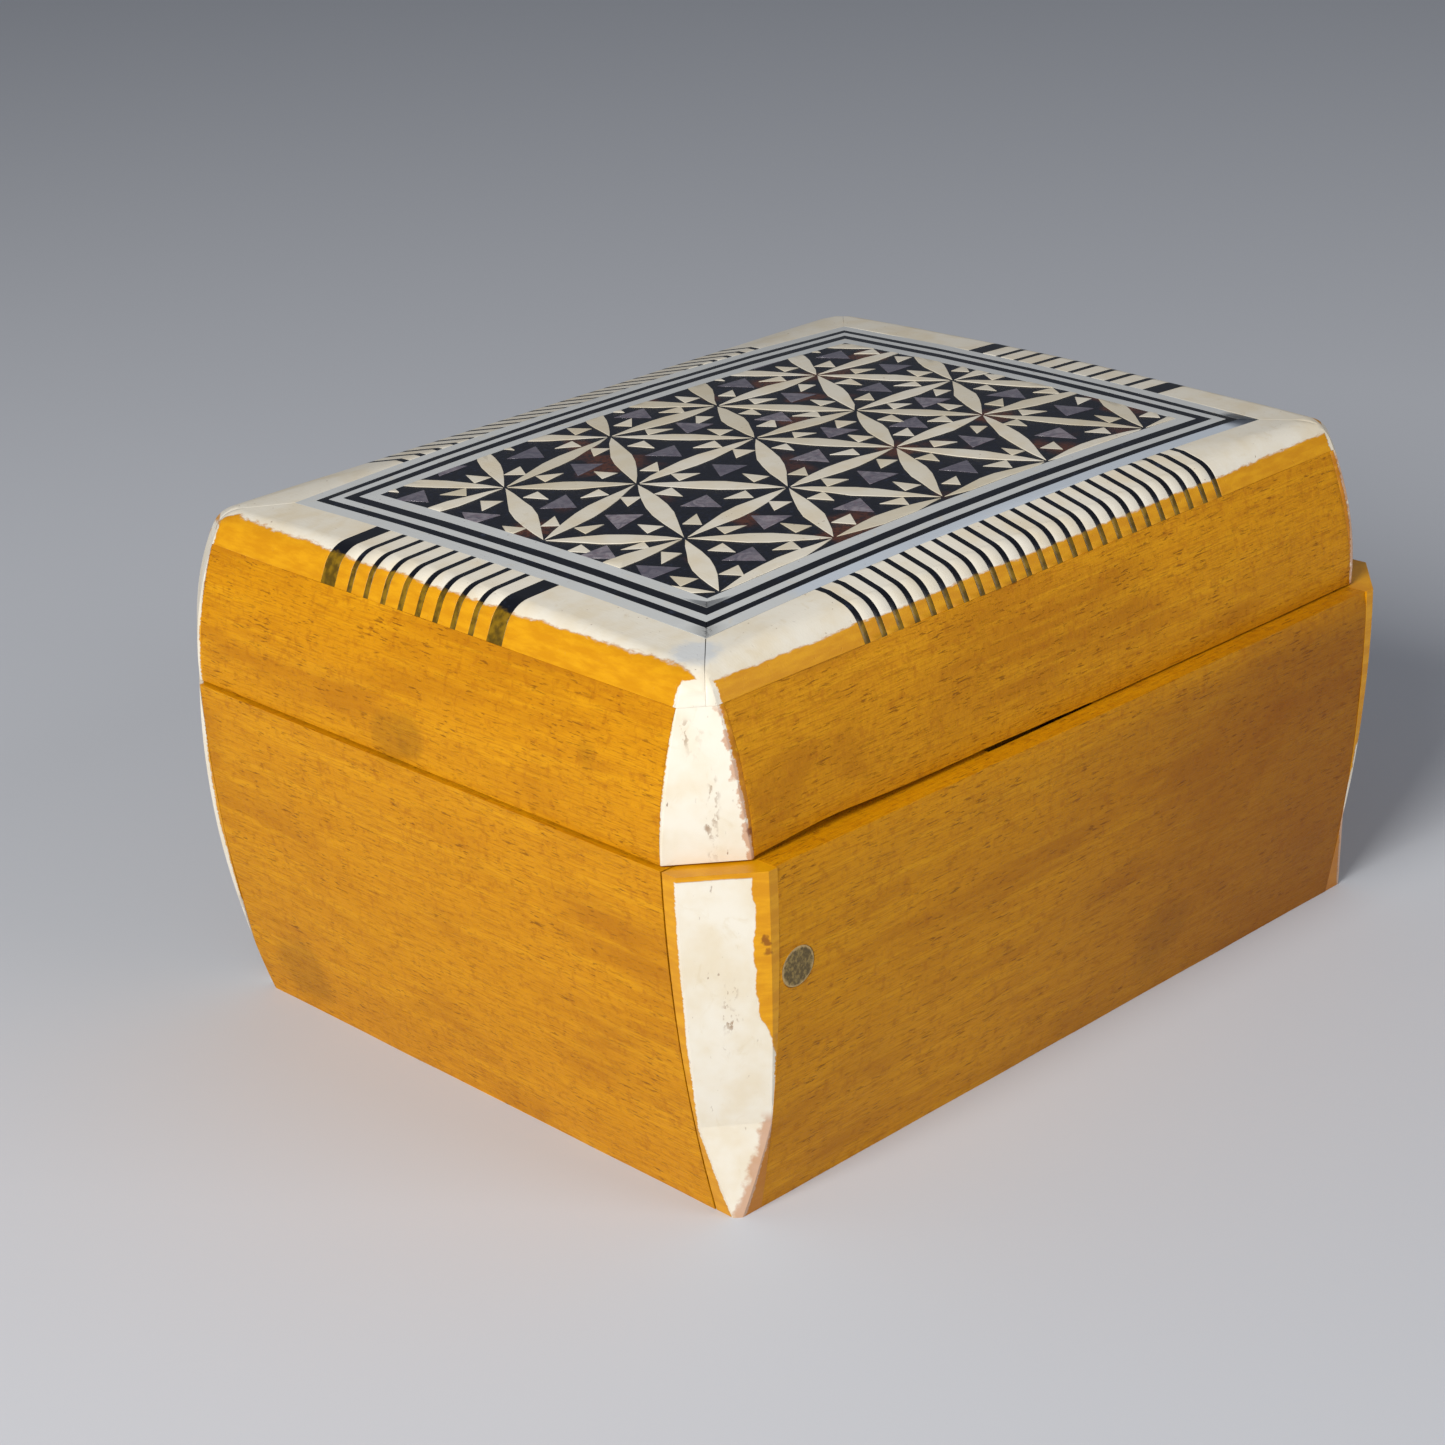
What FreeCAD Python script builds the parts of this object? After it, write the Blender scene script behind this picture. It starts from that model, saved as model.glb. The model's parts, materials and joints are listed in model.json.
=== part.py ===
"""Inlaid wooden trick box: bulged beech box with a hinged lid, a drop end panel and a sliding front.

Frame: millimetres, +X along the long side, -Y towards the front, +Z up, origin under the middle of
the closed lid, on the surface that the box stands on.
"""
import FreeCAD, Part
import math
import os

from FreeCAD import Placement, Rotation, Vector

doc = FreeCAD.newDocument("trick_box")

# ---------------------------------------------------------------- driving dimensions
DIMENSIONS = {
    # outline of the closed box
    "lid_half_length": 46.5,
    "lid_front": 36.0,
    "lid_back": 38.3,
    "base_half_length": 47.0,
    "base_front": 38.3,
    "base_back": 38.3,
    "base_top": 33.3,
    "seam_top": 33.5,
    "box_top": 50.9,
    "base_bulge_radius": 144.0,
    "lid_bulge_radius": 32.4,
    "crown_radius": 753.0,
    "shoulder_start": 28.0,
    "shoulder_height": 50.2,
    "shoulder_angle": 14.5,
    "top_round_radius": 3.0,
    # bone corner strips
    "base_front_strip_leg": 6.7,
    "base_front_strip_depth": 6.5,
    "base_back_strip_leg": 5.2,
    "base_back_strip_depth": 6.4,
    "lid_front_strip_leg": 5.9,
    "lid_front_strip_depth": 4.9,
    "lid_back_strip_leg": 5.2,
    "lid_back_strip_depth": 6.4,
    "lid_front_strip_reach": 54.05,
    "lid_front_strip_height": 36.0,
    "lid_front_strip_radius": 30.0,
    "lid_back_strip_reach": 56.7,
    "lid_back_strip_height": 34.0,
    "lid_back_strip_radius": 31.5,
    "base_front_strip_reach": 55.95,
    "base_front_strip_height": 33.3,
    "base_front_strip_radius": 137.0,
    "base_front_strip_foot": 53.77,
    "strip_foot_height": 9.0,
    "base_back_strip_reach": 57.1,
    "base_back_strip_height": 26.0,
    "base_back_strip_radius": 84.0,
    # carcass boards
    "bottom_thickness": 3.0,
    "back_inner": 32.0,
    "front_panel_back": 31.9,
    "end_panel_inner": 41.0,
    "right_board_inner": 41.3,
    "slide_gap": 0.2,
    "inner_left_face": 38.2,
    "inner_front_face": 28.6,
    "panel_gap": 0.3,
    "rail_inner_x": 41.5,
    "rail_inner_y": 31.0,
    "rail_top": 46.4,
    "top_board_thickness": 3.4,
    "lining_thickness": 0.8,
    "lining_drop": 2.5,
    # inlay on the lid
    "mosaic_half_length": 31.3,
    "mosaic_half_width": 22.0,
    "line_inner_white": 1.35,
    "line_inner_black": 1.1,
    "line_middle_white": 0.95,
    "line_outer_black": 0.85,
    "line_outer_white": 1.4,
    "mosaic_bed": 48.2,
    "mosaic_seat": 48.7,
    "star_pitch": 14.1,
    "star_origin_x": -22.7,
    "star_origin_y": -9.6,
    "petal_half_width": 1.15,
    "slip_pitch_long": 2.06,
    "slip_pitch_short": 2.4,
    "slip_black": 0.68,
    "slip_thick": 2.0,
    "slip_start_long": -24.2,
    "slip_start_short": -15.3,
    "slip_margin": 1.75,
    "petal_tip_gap": 0.35,
    "triangle_start": 3.6,
    "triangle_end": 6.2,
    "triangle_half_width": 1.1,
    "pearl_reach": 2.1,
    # sliding front
    "front_travel": 10.0,
    "rail_depth": 2.2,
    "rail_centre_height": 12.0,
    "rail_neck": 6.0,
    "rail_flare": 1.0,
    "rail_left": -26.5,
    "rail_right_gap": 2.0,
    "groove_left": -37.0,
    "dowel_position": -38.1,
    "dowel_height": 23.4,
    "dowel_radius": 1.9,
    "dowel_tip_radius": 1.2,
    "dowel_tip_end": -29.4,
    # drop end panel
    "end_travel": 6.0,
    "end_rail_depth": 1.2,
    "end_rail_bottom": 12.0,
    "end_rail_top": 24.0,
    "end_rail_neck": 8.0,
    "end_rail_flare": 0.6,
    "key_height": 26.0,
    "key_half_height": 2.0,
    "key_left": -45.0,
    "key_right": -42.4,
    "key_depth": 4.0,
    "key_bite": 2.5,
    # lid catch
    "catch_depth": -34.0,
    "catch_pin_radius": 0.9,
    "catch_head_radius": 1.4,
    "catch_head_height": 1.4,
    "catch_slot_depth": 7.0,
    "catch_drop": 6.0,
    "catch_slot_front": -35.9,
    "catch_slot_back": -32.3,
    # hinges
    "hinge_axis_y": 36.3,
    "hinge_axis_z": 33.4,
    "hinge_spacing": 24.0,
    "hinge_width": 12.0,
    "knuckle_radius": 0.95,
    "pin_radius": 0.5,
    "leaf_thickness": 0.6,
    "leaf_depth": 3.8,
    "leaf_seat": 0.65,
    "screw_radius": 0.5,
    "screw_head_radius": 0.95,
    "screw_length": 4.0,
    "bevel_angle": 47.5,
}

sheet = doc.addObject("Spreadsheet::Sheet", "Sizes")
for row, (alias, value) in enumerate(DIMENSIONS.items(), start=1):
    sheet.set(f"A{row}", alias)
    sheet.set(f"B{row}", str(value))
    sheet.setAlias(f"B{row}", alias)
doc.recompute()


def size(alias):
    """A driving dimension as a number, read from the sheet."""
    return float(sheet.get(alias))


def bound(expression):
    """Write sheet aliases in an expression as references to the sheet."""
    words = []
    for word in expression.replace("(", " ( ").replace(")", " ) ").split():
        words.append(f"Sizes.{word}" if word in DIMENSIONS else word)
    return " ".join(words)


# ---------------------------------------------------------------- document helpers
nodes = []


def bind(obj, prop, expression):
    obj.setExpression(prop, bound(str(expression)))


def block(name, x_range, y_range, z_range):
    """Box between two planes along each axis; each plane is an expression on the sheet."""
    obj = doc.addObject("Part::Box", name)
    for prop, base, (low, high) in zip(
        ("Length", "Width", "Height"), ("x", "y", "z"), (x_range, y_range, z_range)
    ):
        bind(obj, prop, f"( {high} ) - ( {low} )")
        bind(obj, f"Placement.Base.{base}", low)
    return obj


def rod(name, radius, length, start, along="z"):
    """Cylinder of a radius and length that starts at a point and runs along +x, +y or +z."""
    obj = doc.addObject("Part::Cylinder", name)
    bind(obj, "Radius", radius)
    bind(obj, "Height", length)
    turn = {
        "x": Rotation(Vector(0, 1, 0), 90),
        "y": Rotation(Vector(1, 0, 0), -90),
        "z": Rotation(),
    }[along]
    obj.Placement = Placement(Vector(), turn)
    for base, value in zip("xyz", start):
        bind(obj, f"Placement.Base.{base}", value)
    return obj


def cut(name, base, tool):
    obj = doc.addObject("Part::Cut", name)
    obj.Base = base
    obj.Tool = tool
    return obj


def common(name, *shapes):
    obj = doc.addObject("Part::MultiCommon", name)
    obj.Shapes = list(shapes)
    return obj


def fuse(name, *shapes):
    obj = doc.addObject("Part::MultiFuse", name)
    obj.Shapes = list(shapes)
    return obj


def node(obj, label):
    """Mark an object as a finished sub-part."""
    obj.Label = label
    nodes.append(obj)
    return obj


def shape_node(label, solids):
    """A sub-part of several small solids that loops have made."""
    obj = doc.addObject("Part::Feature", label)
    obj.Shape = Part.makeCompound(solids)
    obj.Placement = Placement()
    return node(obj, label)


def plate(points, low, high):
    """Solid of a flat outline, from one height to another."""
    corners = [Vector(x, y, low) for x, y in points]
    wire = Part.makePolygon(corners + [corners[0]])
    return Part.Face(wire).extrude(Vector(0, 0, high - low))


# ---------------------------------------------------------------- outer forms
REACH = 160


def bowed(name, turn, reach, radius, height, foot=None):
    """Everything inside one bowed face of the box; turn is the way that the face looks in plan."""
    axis = size(reach) - size(radius)
    out = Vector(math.cos(math.radians(turn)), math.sin(math.radians(turn)), 0)
    side = Vector(-out.y, out.x, 0)
    face = doc.addObject("Part::Cylinder", name)
    bind(face, "Radius", radius)
    face.Height = 2 * REACH
    face.Placement = Placement(out * axis - side * REACH + Vector(0, 0, size(height)),
                               Rotation(Vector(0, 0, 1), side))
    core = doc.addObject("Part::Box", f"{name}_core")
    bind(core, "Length", f"{foot or reach + ' - ' + radius} + {REACH}")
    core.Width = 2 * REACH
    bind(core, "Height", "strip_foot_height" if foot else "box_top + 1")
    core.Placement = Placement(out * -REACH - side * REACH, Rotation(Vector(0, 0, 1), turn))
    return fuse(f"{name}_whole", face, core)


def shoulder(name, turn):
    """Everything under the slope that the lid's top takes beside its front or back edge."""
    obj = doc.addObject("Part::Box", name)
    obj.Length = 120
    obj.Width = 120
    obj.Height = 60
    crease = Vector(0, -size("shoulder_start"), size("shoulder_height"))
    tilt = Rotation(Vector(1, 0, 0), size("shoulder_angle"))
    placed = Placement(crease - tilt.multVec(Vector(60, 40, 60)), tilt)
    obj.Placement = Placement(Vector(), Rotation(Vector(0, 0, 1), turn)).multiply(placed)
    return obj


CORNERS = {"front_left": 229.5, "front_right": 310.5, "back_left": 145, "back_right": 35}
WALLS = {
    "left": (180, "half_length"),
    "right": (0, "half_length"),
    "front": (270, "front"),
    "back": (90, "back"),
}
PAST = 60

base_parts = [block("base_heights", (-PAST, PAST), (-PAST, PAST), (0, "base_top"))]
lid_parts = [block("lid_heights", (-PAST, PAST), (-PAST, PAST), ("seam_top", "box_top + 1"))]
for wall, (turn, reach) in WALLS.items():
    base_parts.append(bowed(f"base_wall_{wall}", turn, f"base_{reach}", "base_bulge_radius", "base_top"))
    lid_parts.append(bowed(f"lid_wall_{wall}", turn, f"lid_{reach}", "lid_bulge_radius", "seam_top"))
for place, turn in CORNERS.items():
    end = place.split("_")[0]
    names = [f"{end}_strip_{what}" for what in ("reach", "radius", "height")]
    base_parts.append(bowed(f"base_corner_{place}", turn, *[f"base_{name}" for name in names],
                            foot="base_front_strip_foot" if end == "front" else None))
    lid_parts.append(bowed(f"lid_corner_{place}", turn, *[f"lid_{name}" for name in names]))
base_form = common("base_form", *base_parts)

crown = doc.addObject("Part::Sphere", "crown")
crown.Placement = Placement(Vector(), Rotation(Vector(1, 0, 0), 90))
bind(crown, "Radius", "crown_radius")
bind(crown, "Placement.Base.z", "box_top - crown_radius")
lid_parts += [crown, shoulder("front_shoulder", 0), shoulder("back_shoulder", 180)]
lid_sharp = common("lid_sharp", *lid_parts)
doc.recompute()

# the lid's top edge is rubbed round all the way about, but not the crease where each shoulder starts
lid_form = doc.addObject("Part::Fillet", "lid_form")
lid_form.Base = lid_sharp
top_edges = []
for number, edge in enumerate(lid_sharp.Shape.Edges, start=1):
    faces = lid_sharp.Shape.ancestorsOfType(edge, Part.Face)
    meets_wall = any(isinstance(face.Surface, Part.Cylinder) for face in faces)
    if meets_wall and edge.BoundBox.ZMin > size("rail_top"):
        top_edges.append((number, size("top_round_radius"), size("top_round_radius")))
lid_form.Edges = top_edges
doc.recompute()

# the back edges of lid and base are planed off in a V behind the hinge pins, which stops the lid
def bevel(name, angle, drop):
    """Box with one face on the bevel plane through the hinge axis."""
    obj = doc.addObject("Part::Box", name)
    obj.Length = 120
    obj.Width = 10
    obj.Height = 10
    turn = Rotation(Vector(1, 0, 0), angle)
    axis = Vector(-60, size("hinge_axis_y"), size("hinge_axis_z"))
    obj.Placement = Placement(axis + turn.multVec(Vector(0, 0, drop)), turn)
    return obj


base_body = cut("base_body", base_form, bevel("base_bevel", -size("bevel_angle"), 0))
lid_body = cut("lid_body", lid_form, bevel("lid_bevel", size("bevel_angle"), -10))
doc.recompute()

# ---------------------------------------------------------------- bone corner strips
def corner_block(part, place, z_range):
    """Square rebate at one corner of the lid or the base, which the bone strip fills."""
    half_length = f"{part}_half_length"
    strip = f"{part}_{place.split('_')[0]}_strip"
    if "left" in place:
        x_range = (f"-( {half_length} ) - 2", f"{strip}_leg - {half_length}")
    else:
        x_range = (f"{half_length} - {strip}_leg", f"{half_length} + 2")
    if "front" in place:
        y_range = (f"-( {part}_front ) - 2", f"{strip}_depth - {part}_front")
    else:
        y_range = (f"{part}_back - {strip}_depth", f"{part}_back + 2")
    return block(f"{part}_rebate_{place}", x_range, y_range, z_range)


# the lock key of the end panel bites into the back of the near left strip
key_x = ("key_left", "key_right")
key_z = ("key_height - key_half_height", "key_height + key_half_height")
key_mortise = block("key_mortise", (f"{key_x[0]} - slide_gap", f"{key_x[1]} + slide_gap"),
                    ("-( front_panel_back ) - key_bite", "1 - front_panel_back"),
                    (f"{key_z[0]} - slide_gap", f"{key_z[1]} + slide_gap"))
base_blocks = {}
lid_blocks = {}
for place in CORNERS:
    base_blocks[place] = corner_block("base", place, (-1, "base_top + 1"))
    strip = common(f"base_strip_{place}_blank", base_body, base_blocks[place])
    if place == "front_left":
        strip = cut("base_strip_mortised", strip, key_mortise)
    node(strip, f"base_strip_{place}")
    lid_blocks[place] = corner_block("lid", place, ("seam_top - 1", "rail_top"))
    node(common(f"lid_strip_{place}_blank", lid_body, lid_blocks[place]), f"lid_strip_{place}")
all_base_blocks = fuse("base_rebates", *base_blocks.values())
all_lid_blocks = fuse("lid_rebates", *lid_blocks.values())

# ---------------------------------------------------------------- hinges
HINGES = {"left": "-( hinge_spacing )", "right": "hinge_spacing"}
KNUCKLE_GAP = 0.05
BARREL_GAP = 0.12
BORE_GAP = 0.04
SCREW_SETBACK = 1.45
SCREW_SPREAD = 0.28
axis_y = size("hinge_axis_y")
axis_z = size("hinge_axis_z")


def screw(x, y, surface, upwards):
    """Countersunk screw with its head flush in a leaf and its shank in the wood."""
    way = 1 if upwards else -1
    sink = size("screw_head_radius") - size("screw_radius")
    head = Part.makeCone(size("screw_head_radius"), size("screw_radius"), sink,
                         Vector(x, y, surface), Vector(0, 0, way))
    shank = Part.makeCylinder(size("screw_radius"), size("screw_length") - sink,
                              Vector(x, y, surface + way * sink), Vector(0, 0, way))
    return head.fuse(shank).removeSplitter()


def leaf(middle, upwards):
    """Brass leaf with its knuckles: the outer two on the base, the middle one on the lid."""
    way = 1 if upwards else -1
    half = size("hinge_width") / 2
    third = half / 3
    low = axis_z + way * KNUCKLE_GAP
    thick = way * size("leaf_thickness")
    bottom = min(low, low + thick)
    start_y = axis_y - size("leaf_depth")
    plate_end = axis_y - size("knuckle_radius") - BARREL_GAP
    solid = Part.makeBox(2 * half, plate_end - start_y, abs(thick), Vector(middle - half, start_y, bottom))
    spans = [(-third, third)] if upwards else [(-half, -third), (third, half)]
    for low_x, high_x in spans:
        low_x += KNUCKLE_GAP
        high_x -= KNUCKLE_GAP
        root = Part.makeBox(high_x - low_x, axis_y - plate_end, abs(thick),
                            Vector(middle + low_x, plate_end, bottom))
        barrel = Part.makeCylinder(size("knuckle_radius"), high_x - low_x,
                                   Vector(middle + low_x, axis_y, axis_z), Vector(1, 0, 0))
        solid = solid.fuse(root).fuse(barrel)
    clearance = BORE_GAP if upwards else 0
    bore = Part.makeCylinder(size("pin_radius") + clearance, 2 * half,
                             Vector(middle - half, axis_y, axis_z), Vector(1, 0, 0))
    return solid.cut(bore)


def hinge_side(label, upwards):
    """Leaves and screws of both hinges on one side of the seam."""
    leaves = []
    screws = []
    surface = axis_z + (KNUCKLE_GAP if upwards else -KNUCKLE_GAP)
    screw_y = axis_y - size("knuckle_radius") - SCREW_SETBACK
    for sign in (-1, 1):
        middle = sign * size("hinge_spacing")
        solid = leaf(middle, upwards)
        for offset in (-SCREW_SPREAD, SCREW_SPREAD):
            fastener = screw(middle + offset * size("hinge_width"), screw_y, surface, upwards)
            screws.append(fastener)
            solid = solid.cut(fastener)
        leaves.append(solid)
    return shape_node(f"{label}_hinge_leaves", leaves), shape_node(f"{label}_hinge_screws", screws)


base_leaves, base_screws = hinge_side("base", False)
lid_leaves, lid_screws = hinge_side("lid", True)
pins = [rod(f"hinge_pin_{side}", "pin_radius", "hinge_width",
            (f"{middle} - hinge_width / 2", "hinge_axis_y", "hinge_axis_z"), "x")
        for side, middle in HINGES.items()]
node(fuse("hinge_pins", *pins), "hinge_pins")


def hinge_mortises(label, low, high):
    """Recesses for the leaves and the barrel of both hinges."""
    parts = []
    for side, middle in HINGES.items():
        x_range = (f"{middle} - hinge_width / 2", f"{middle} + hinge_width / 2")
        parts.append(block(f"{label}_leaf_seat_{side}", x_range,
                           ("hinge_axis_y - leaf_depth", "hinge_axis_y"), (low, high)))
        parts.append(rod(f"{label}_barrel_seat_{side}", "knuckle_radius + slide_gap",
                         "hinge_width + 2 * slide_gap",
                         (f"{middle} - hinge_width / 2 - slide_gap", "hinge_axis_y", "hinge_axis_z"), "x"))
    return parts


# ---------------------------------------------------------------- fixed boards of the base
def board(label, x_range, y_range, z_range, *tools):
    """Board cut to the bulged outline of the base, less what is let into it."""
    body = common(f"{label}_blank", base_body, block(f"{label}_slab", x_range, y_range, z_range))
    whole = fuse(f"{label}_tools", *tools) if len(tools) > 1 else None
    if tools:
        body = cut(f"{label}_cut", body, whole or tools[0])
    return node(body, label)


node(block("base_bottom_slab", ("-( inner_left_face )", "right_board_inner"),
           ("-( inner_front_face )", "back_inner"), (0, "bottom_thickness")), "base_bottom")
board("back_board", (-PAST, PAST), ("back_inner", PAST), (0, "base_top"), all_base_blocks, base_screws,
      *hinge_mortises("base", "hinge_axis_z - leaf_seat", "base_top + 1"))
board("right_end_board", ("right_board_inner", PAST),
      ("slide_gap - front_panel_back", "back_inner"), (0, "base_top"), all_base_blocks)
node(block("inner_left_wall_slab", ("slide_gap - end_panel_inner", "-( inner_left_face )"),
           ("-( inner_front_face )", "back_inner"), (0, "base_top")), "inner_left_wall")

# the stop dowel's tip runs in a blind slot as long as the front panel's travel
tip_room = "dowel_tip_radius + slide_gap"
slot_y = ("slide_gap - front_panel_back - 1", "dowel_tip_end + slide_gap")
stop_slot = fuse(
    "stop_slot",
    block("stop_slot_run", ("dowel_position", "dowel_position + front_travel"), slot_y,
          (f"dowel_height - ( {tip_room} )", f"dowel_height + {tip_room}")),
    rod("stop_slot_left", tip_room, f"( {slot_y[1]} ) - ( {slot_y[0]} )",
        ("dowel_position", slot_y[0], "dowel_height"), "y"),
    rod("stop_slot_right", tip_room, f"( {slot_y[1]} ) - ( {slot_y[0]} )",
        ("dowel_position + front_travel", slot_y[0], "dowel_height"), "y"))
node(cut("inner_front_wall_cut",
         block("inner_front_wall_slab", ("slide_gap - end_panel_inner", "right_board_inner"),
               ("slide_gap - front_panel_back", "-( inner_front_face )"), (0, "base_top")),
         stop_slot), "inner_front_wall")


# ---------------------------------------------------------------- dovetail rails
def front_dovetail(name, x_range, gap):
    """Dovetail along X on the inner front wall, wide at its tip; gap makes it the groove."""
    obj = doc.addObject("Part::Wedge", name)
    half = f"rail_neck / 2 + {gap}"
    for prop, value in {
        "Xmin": x_range[0], "X2min": x_range[0], "Xmax": x_range[1], "X2max": x_range[1],
        "Ymin": f"slide_gap - front_panel_back - rail_depth - {gap}",
        "Ymax": "slide_gap - front_panel_back",
        "Zmin": f"-( {half} ) - rail_flare", "Zmax": f"{half} + rail_flare",
        "Z2min": f"-( {half} )", "Z2max": half,
    }.items():
        bind(obj, prop, value)
    bind(obj, "Placement.Base.z", "rail_centre_height")
    return obj


def end_dovetail(name, z_range, gap):
    """Upright dovetail on the inner left wall; gap makes it the groove in the end panel."""
    obj = doc.addObject("Part::Wedge", name)
    half = f"end_rail_neck / 2 + {gap}"
    for prop, value in {
        "Xmin": f"-( {half} ) - end_rail_flare", "Xmax": f"{half} + end_rail_flare",
        "X2min": f"-( {half} )", "X2max": half,
        "Ymin": f"slide_gap - end_panel_inner - end_rail_depth - {gap}",
        "Ymax": "slide_gap - end_panel_inner",
        "Zmin": z_range[0], "Z2min": z_range[0], "Zmax": z_range[1], "Z2max": z_range[1],
    }.items():
        bind(obj, prop, value)
    obj.Placement = Placement(Vector(), Rotation(Vector(0, 0, 1), -90))
    return obj


node(front_dovetail("front_rail_wedge", ("rail_left", "right_board_inner - rail_right_gap"), 0),
     "front_slide_rail")
node(end_dovetail("end_rail_wedge", ("end_rail_bottom", "end_rail_top"), 0), "end_slide_rail")

# ---------------------------------------------------------------- drop end panel
key_y = ("panel_gap - front_panel_back", "panel_gap + key_depth - front_panel_back")
key_slab = block("lock_key_slab", key_x, key_y, key_z)
board("end_panel", (-PAST, "-( end_panel_inner )"),
      ("panel_gap - front_panel_back", "back_inner - slide_gap"), (0, "base_top"),
      end_dovetail("end_groove", (-1, "end_rail_top + end_travel + slide_gap"), "slide_gap"), key_slab)
node(key_slab, "lock_key")

# ---------------------------------------------------------------- sliding front panel
dowel_y = "-( base_front ) - 2"
dowel_shank = rod("dowel_shank", "dowel_radius", "base_front + 2 - front_panel_back",
                  ("dowel_position", dowel_y, "dowel_height"), "y")
dowel_tip = rod("dowel_tip", "dowel_tip_radius", "front_panel_back + dowel_tip_end + 1",
                ("dowel_position", "-( front_panel_back ) - 1", "dowel_height"), "y")
node(common("stop_dowel_trimmed", base_body, fuse("stop_dowel_rod", dowel_shank, dowel_tip)), "stop_dowel")
catch_slot = block("catch_slot", ("-( front_travel ) - 2", 2), ("catch_slot_front", "catch_slot_back"),
                   ("base_top - catch_slot_depth", "base_top + 1"))
front_groove = front_dovetail("front_groove", ("groove_left", PAST), "slide_gap")
board("front_panel", (-PAST, PAST), (-PAST, "-( front_panel_back )"), (0, "base_top"),
      all_base_blocks, dowel_shank, catch_slot, front_groove)

# ---------------------------------------------------------------- lid carcass
SIDES = {"front": 0, "right": 90, "back": 180, "left": 270}


def mitred(name, side, inner_x, inner_y, z_range):
    """Bar along one side of the lid, mitred at both ends, reaching past the outline."""
    reach = 9
    along, depth = (inner_x, inner_y) if side in ("front", "back") else (inner_y, inner_x)
    obj = doc.addObject("Part::Wedge", name)
    for prop, value in {
        "Xmin": f"-( {along} ) - {reach}", "Xmax": f"{along} + {reach}",
        "X2min": f"-( {along} )", "X2max": along,
        "Ymin": f"-( {depth} ) - {reach}", "Ymax": f"-( {depth} )",
        "Zmin": z_range[0], "Z2min": z_range[0], "Zmax": z_range[1], "Z2max": z_range[1],
    }.items():
        bind(obj, prop, value)
    obj.Placement = Placement(Vector(), Rotation(Vector(0, 0, 1), SIDES[side]))
    return obj


catch_pin = fuse(
    "catch_pin_turned",
    rod("catch_shank", "catch_pin_radius", "catch_drop + 6", (0, "catch_depth", "seam_top - catch_drop")),
    rod("catch_head", "catch_head_radius", "catch_head_height",
        (0, "catch_depth", "seam_top - catch_drop")))
node(catch_pin, "lid_catch_pin")
for side in SIDES:
    tools = [all_lid_blocks]
    if side == "back":
        tools.append(lid_screws)
        tools += hinge_mortises("lid", "seam_top - 1", "hinge_axis_z + leaf_seat")
    if side == "front":
        tools.append(catch_pin)
    blank = common(f"lid_{side}_blank", lid_body,
                   mitred(f"lid_{side}_bar", side, "rail_inner_x", "rail_inner_y", ("seam_top", "rail_top")))
    whole = fuse(f"lid_{side}_tools", *tools) if len(tools) > 1 else all_lid_blocks
    node(cut(f"lid_{side}_cut", blank, whole), f"lid_{side}_rail")
node(block("lid_board_slab", ("-( rail_inner_x )", "rail_inner_x"), ("-( rail_inner_y )", "rail_inner_y"),
           ("rail_top - top_board_thickness", "rail_top")), "lid_top_board")
node(block("mosaic_backing_slab", ("-( mosaic_half_length )", "mosaic_half_length"),
           ("-( mosaic_half_width )", "mosaic_half_width"), ("rail_top", "mosaic_bed")), "mosaic_backing")

# ---------------------------------------------------------------- velvet lining
skin = "lining_thickness"
floor_z = f"bottom_thickness + {skin}"
room_x = ("-( inner_left_face )", "right_board_inner")
room_y = ("-( inner_front_face )", "back_inner")
node(block("lining_floor_slab", room_x, room_y, ("bottom_thickness", floor_z)), "lining_floor")
wall_z = (floor_z, "base_top - lining_drop")
walls = [
    block("lining_front", room_x, (room_y[0], f"{skin} - inner_front_face"), wall_z),
    block("lining_back", room_x, (f"back_inner - {skin}", room_y[1]), wall_z),
    block("lining_left", (room_x[0], f"{skin} - inner_left_face"),
          (f"{skin} - inner_front_face", f"back_inner - {skin}"), wall_z),
    block("lining_right", (f"right_board_inner - {skin}", room_x[1]),
          (f"{skin} - inner_front_face", f"back_inner - {skin}"), wall_z),
]
node(fuse("lining_walls_sewn", *walls), "lining_walls")
node(block("lid_lining_slab", ("panel_gap - rail_inner_x", "rail_inner_x - panel_gap"),
           ("panel_gap - rail_inner_y", "rail_inner_y - panel_gap"),
           (f"rail_top - top_board_thickness - {skin}", "rail_top - top_board_thickness")), "lid_lining")
doc.recompute()

# ---------------------------------------------------------------- inlay of the lid
lid_solid = lid_body.Shape
high = size("box_top") + 1


def turned(points, side):
    """Turn a plan outline drawn for the front side to another side of the lid."""
    turn = Rotation(Vector(0, 0, 1), SIDES[side])
    out = [turn.multVec(Vector(x, y, 0)) for x, y in points]
    return [(point.x, point.y) for point in out]


def side_halves(side, half_x, half_y):
    return (half_x, half_y) if side in ("front", "back") else (half_y, half_x)


def ring_piece(side, inner_x, inner_y, width, low):
    """One mitred side of a ring about the mosaic, flush with the crowned top."""
    along, depth = side_halves(side, inner_x, inner_y)
    outline = [(-along - width, -depth - width), (along + width, -depth - width),
               (along, -depth), (-along, -depth)]
    return plate(turned(outline, side), low, high).common(lid_solid)


def flatten(shapes):
    return [solid for shape in shapes for solid in shape.Solids]


half_x = size("mosaic_half_length")
half_y = size("mosaic_half_width")
lines = {"white": [], "black": []}
for alias in ("line_inner_white", "line_inner_black", "line_middle_white", "line_outer_black",
              "line_outer_white"):
    width = size(alias)
    for side in SIDES:
        lines[alias.split("_")[-1]].append(ring_piece(side, half_x, half_y, width, size("rail_top")))
    half_x += width
    half_y += width
for colour, pieces in lines.items():
    shape_node(f"stringing_{colour}", flatten(pieces))

BORDER_REACH = 11
LONG_SIDES = ("front", "back")
THIN_SLIPS = 8


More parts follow.
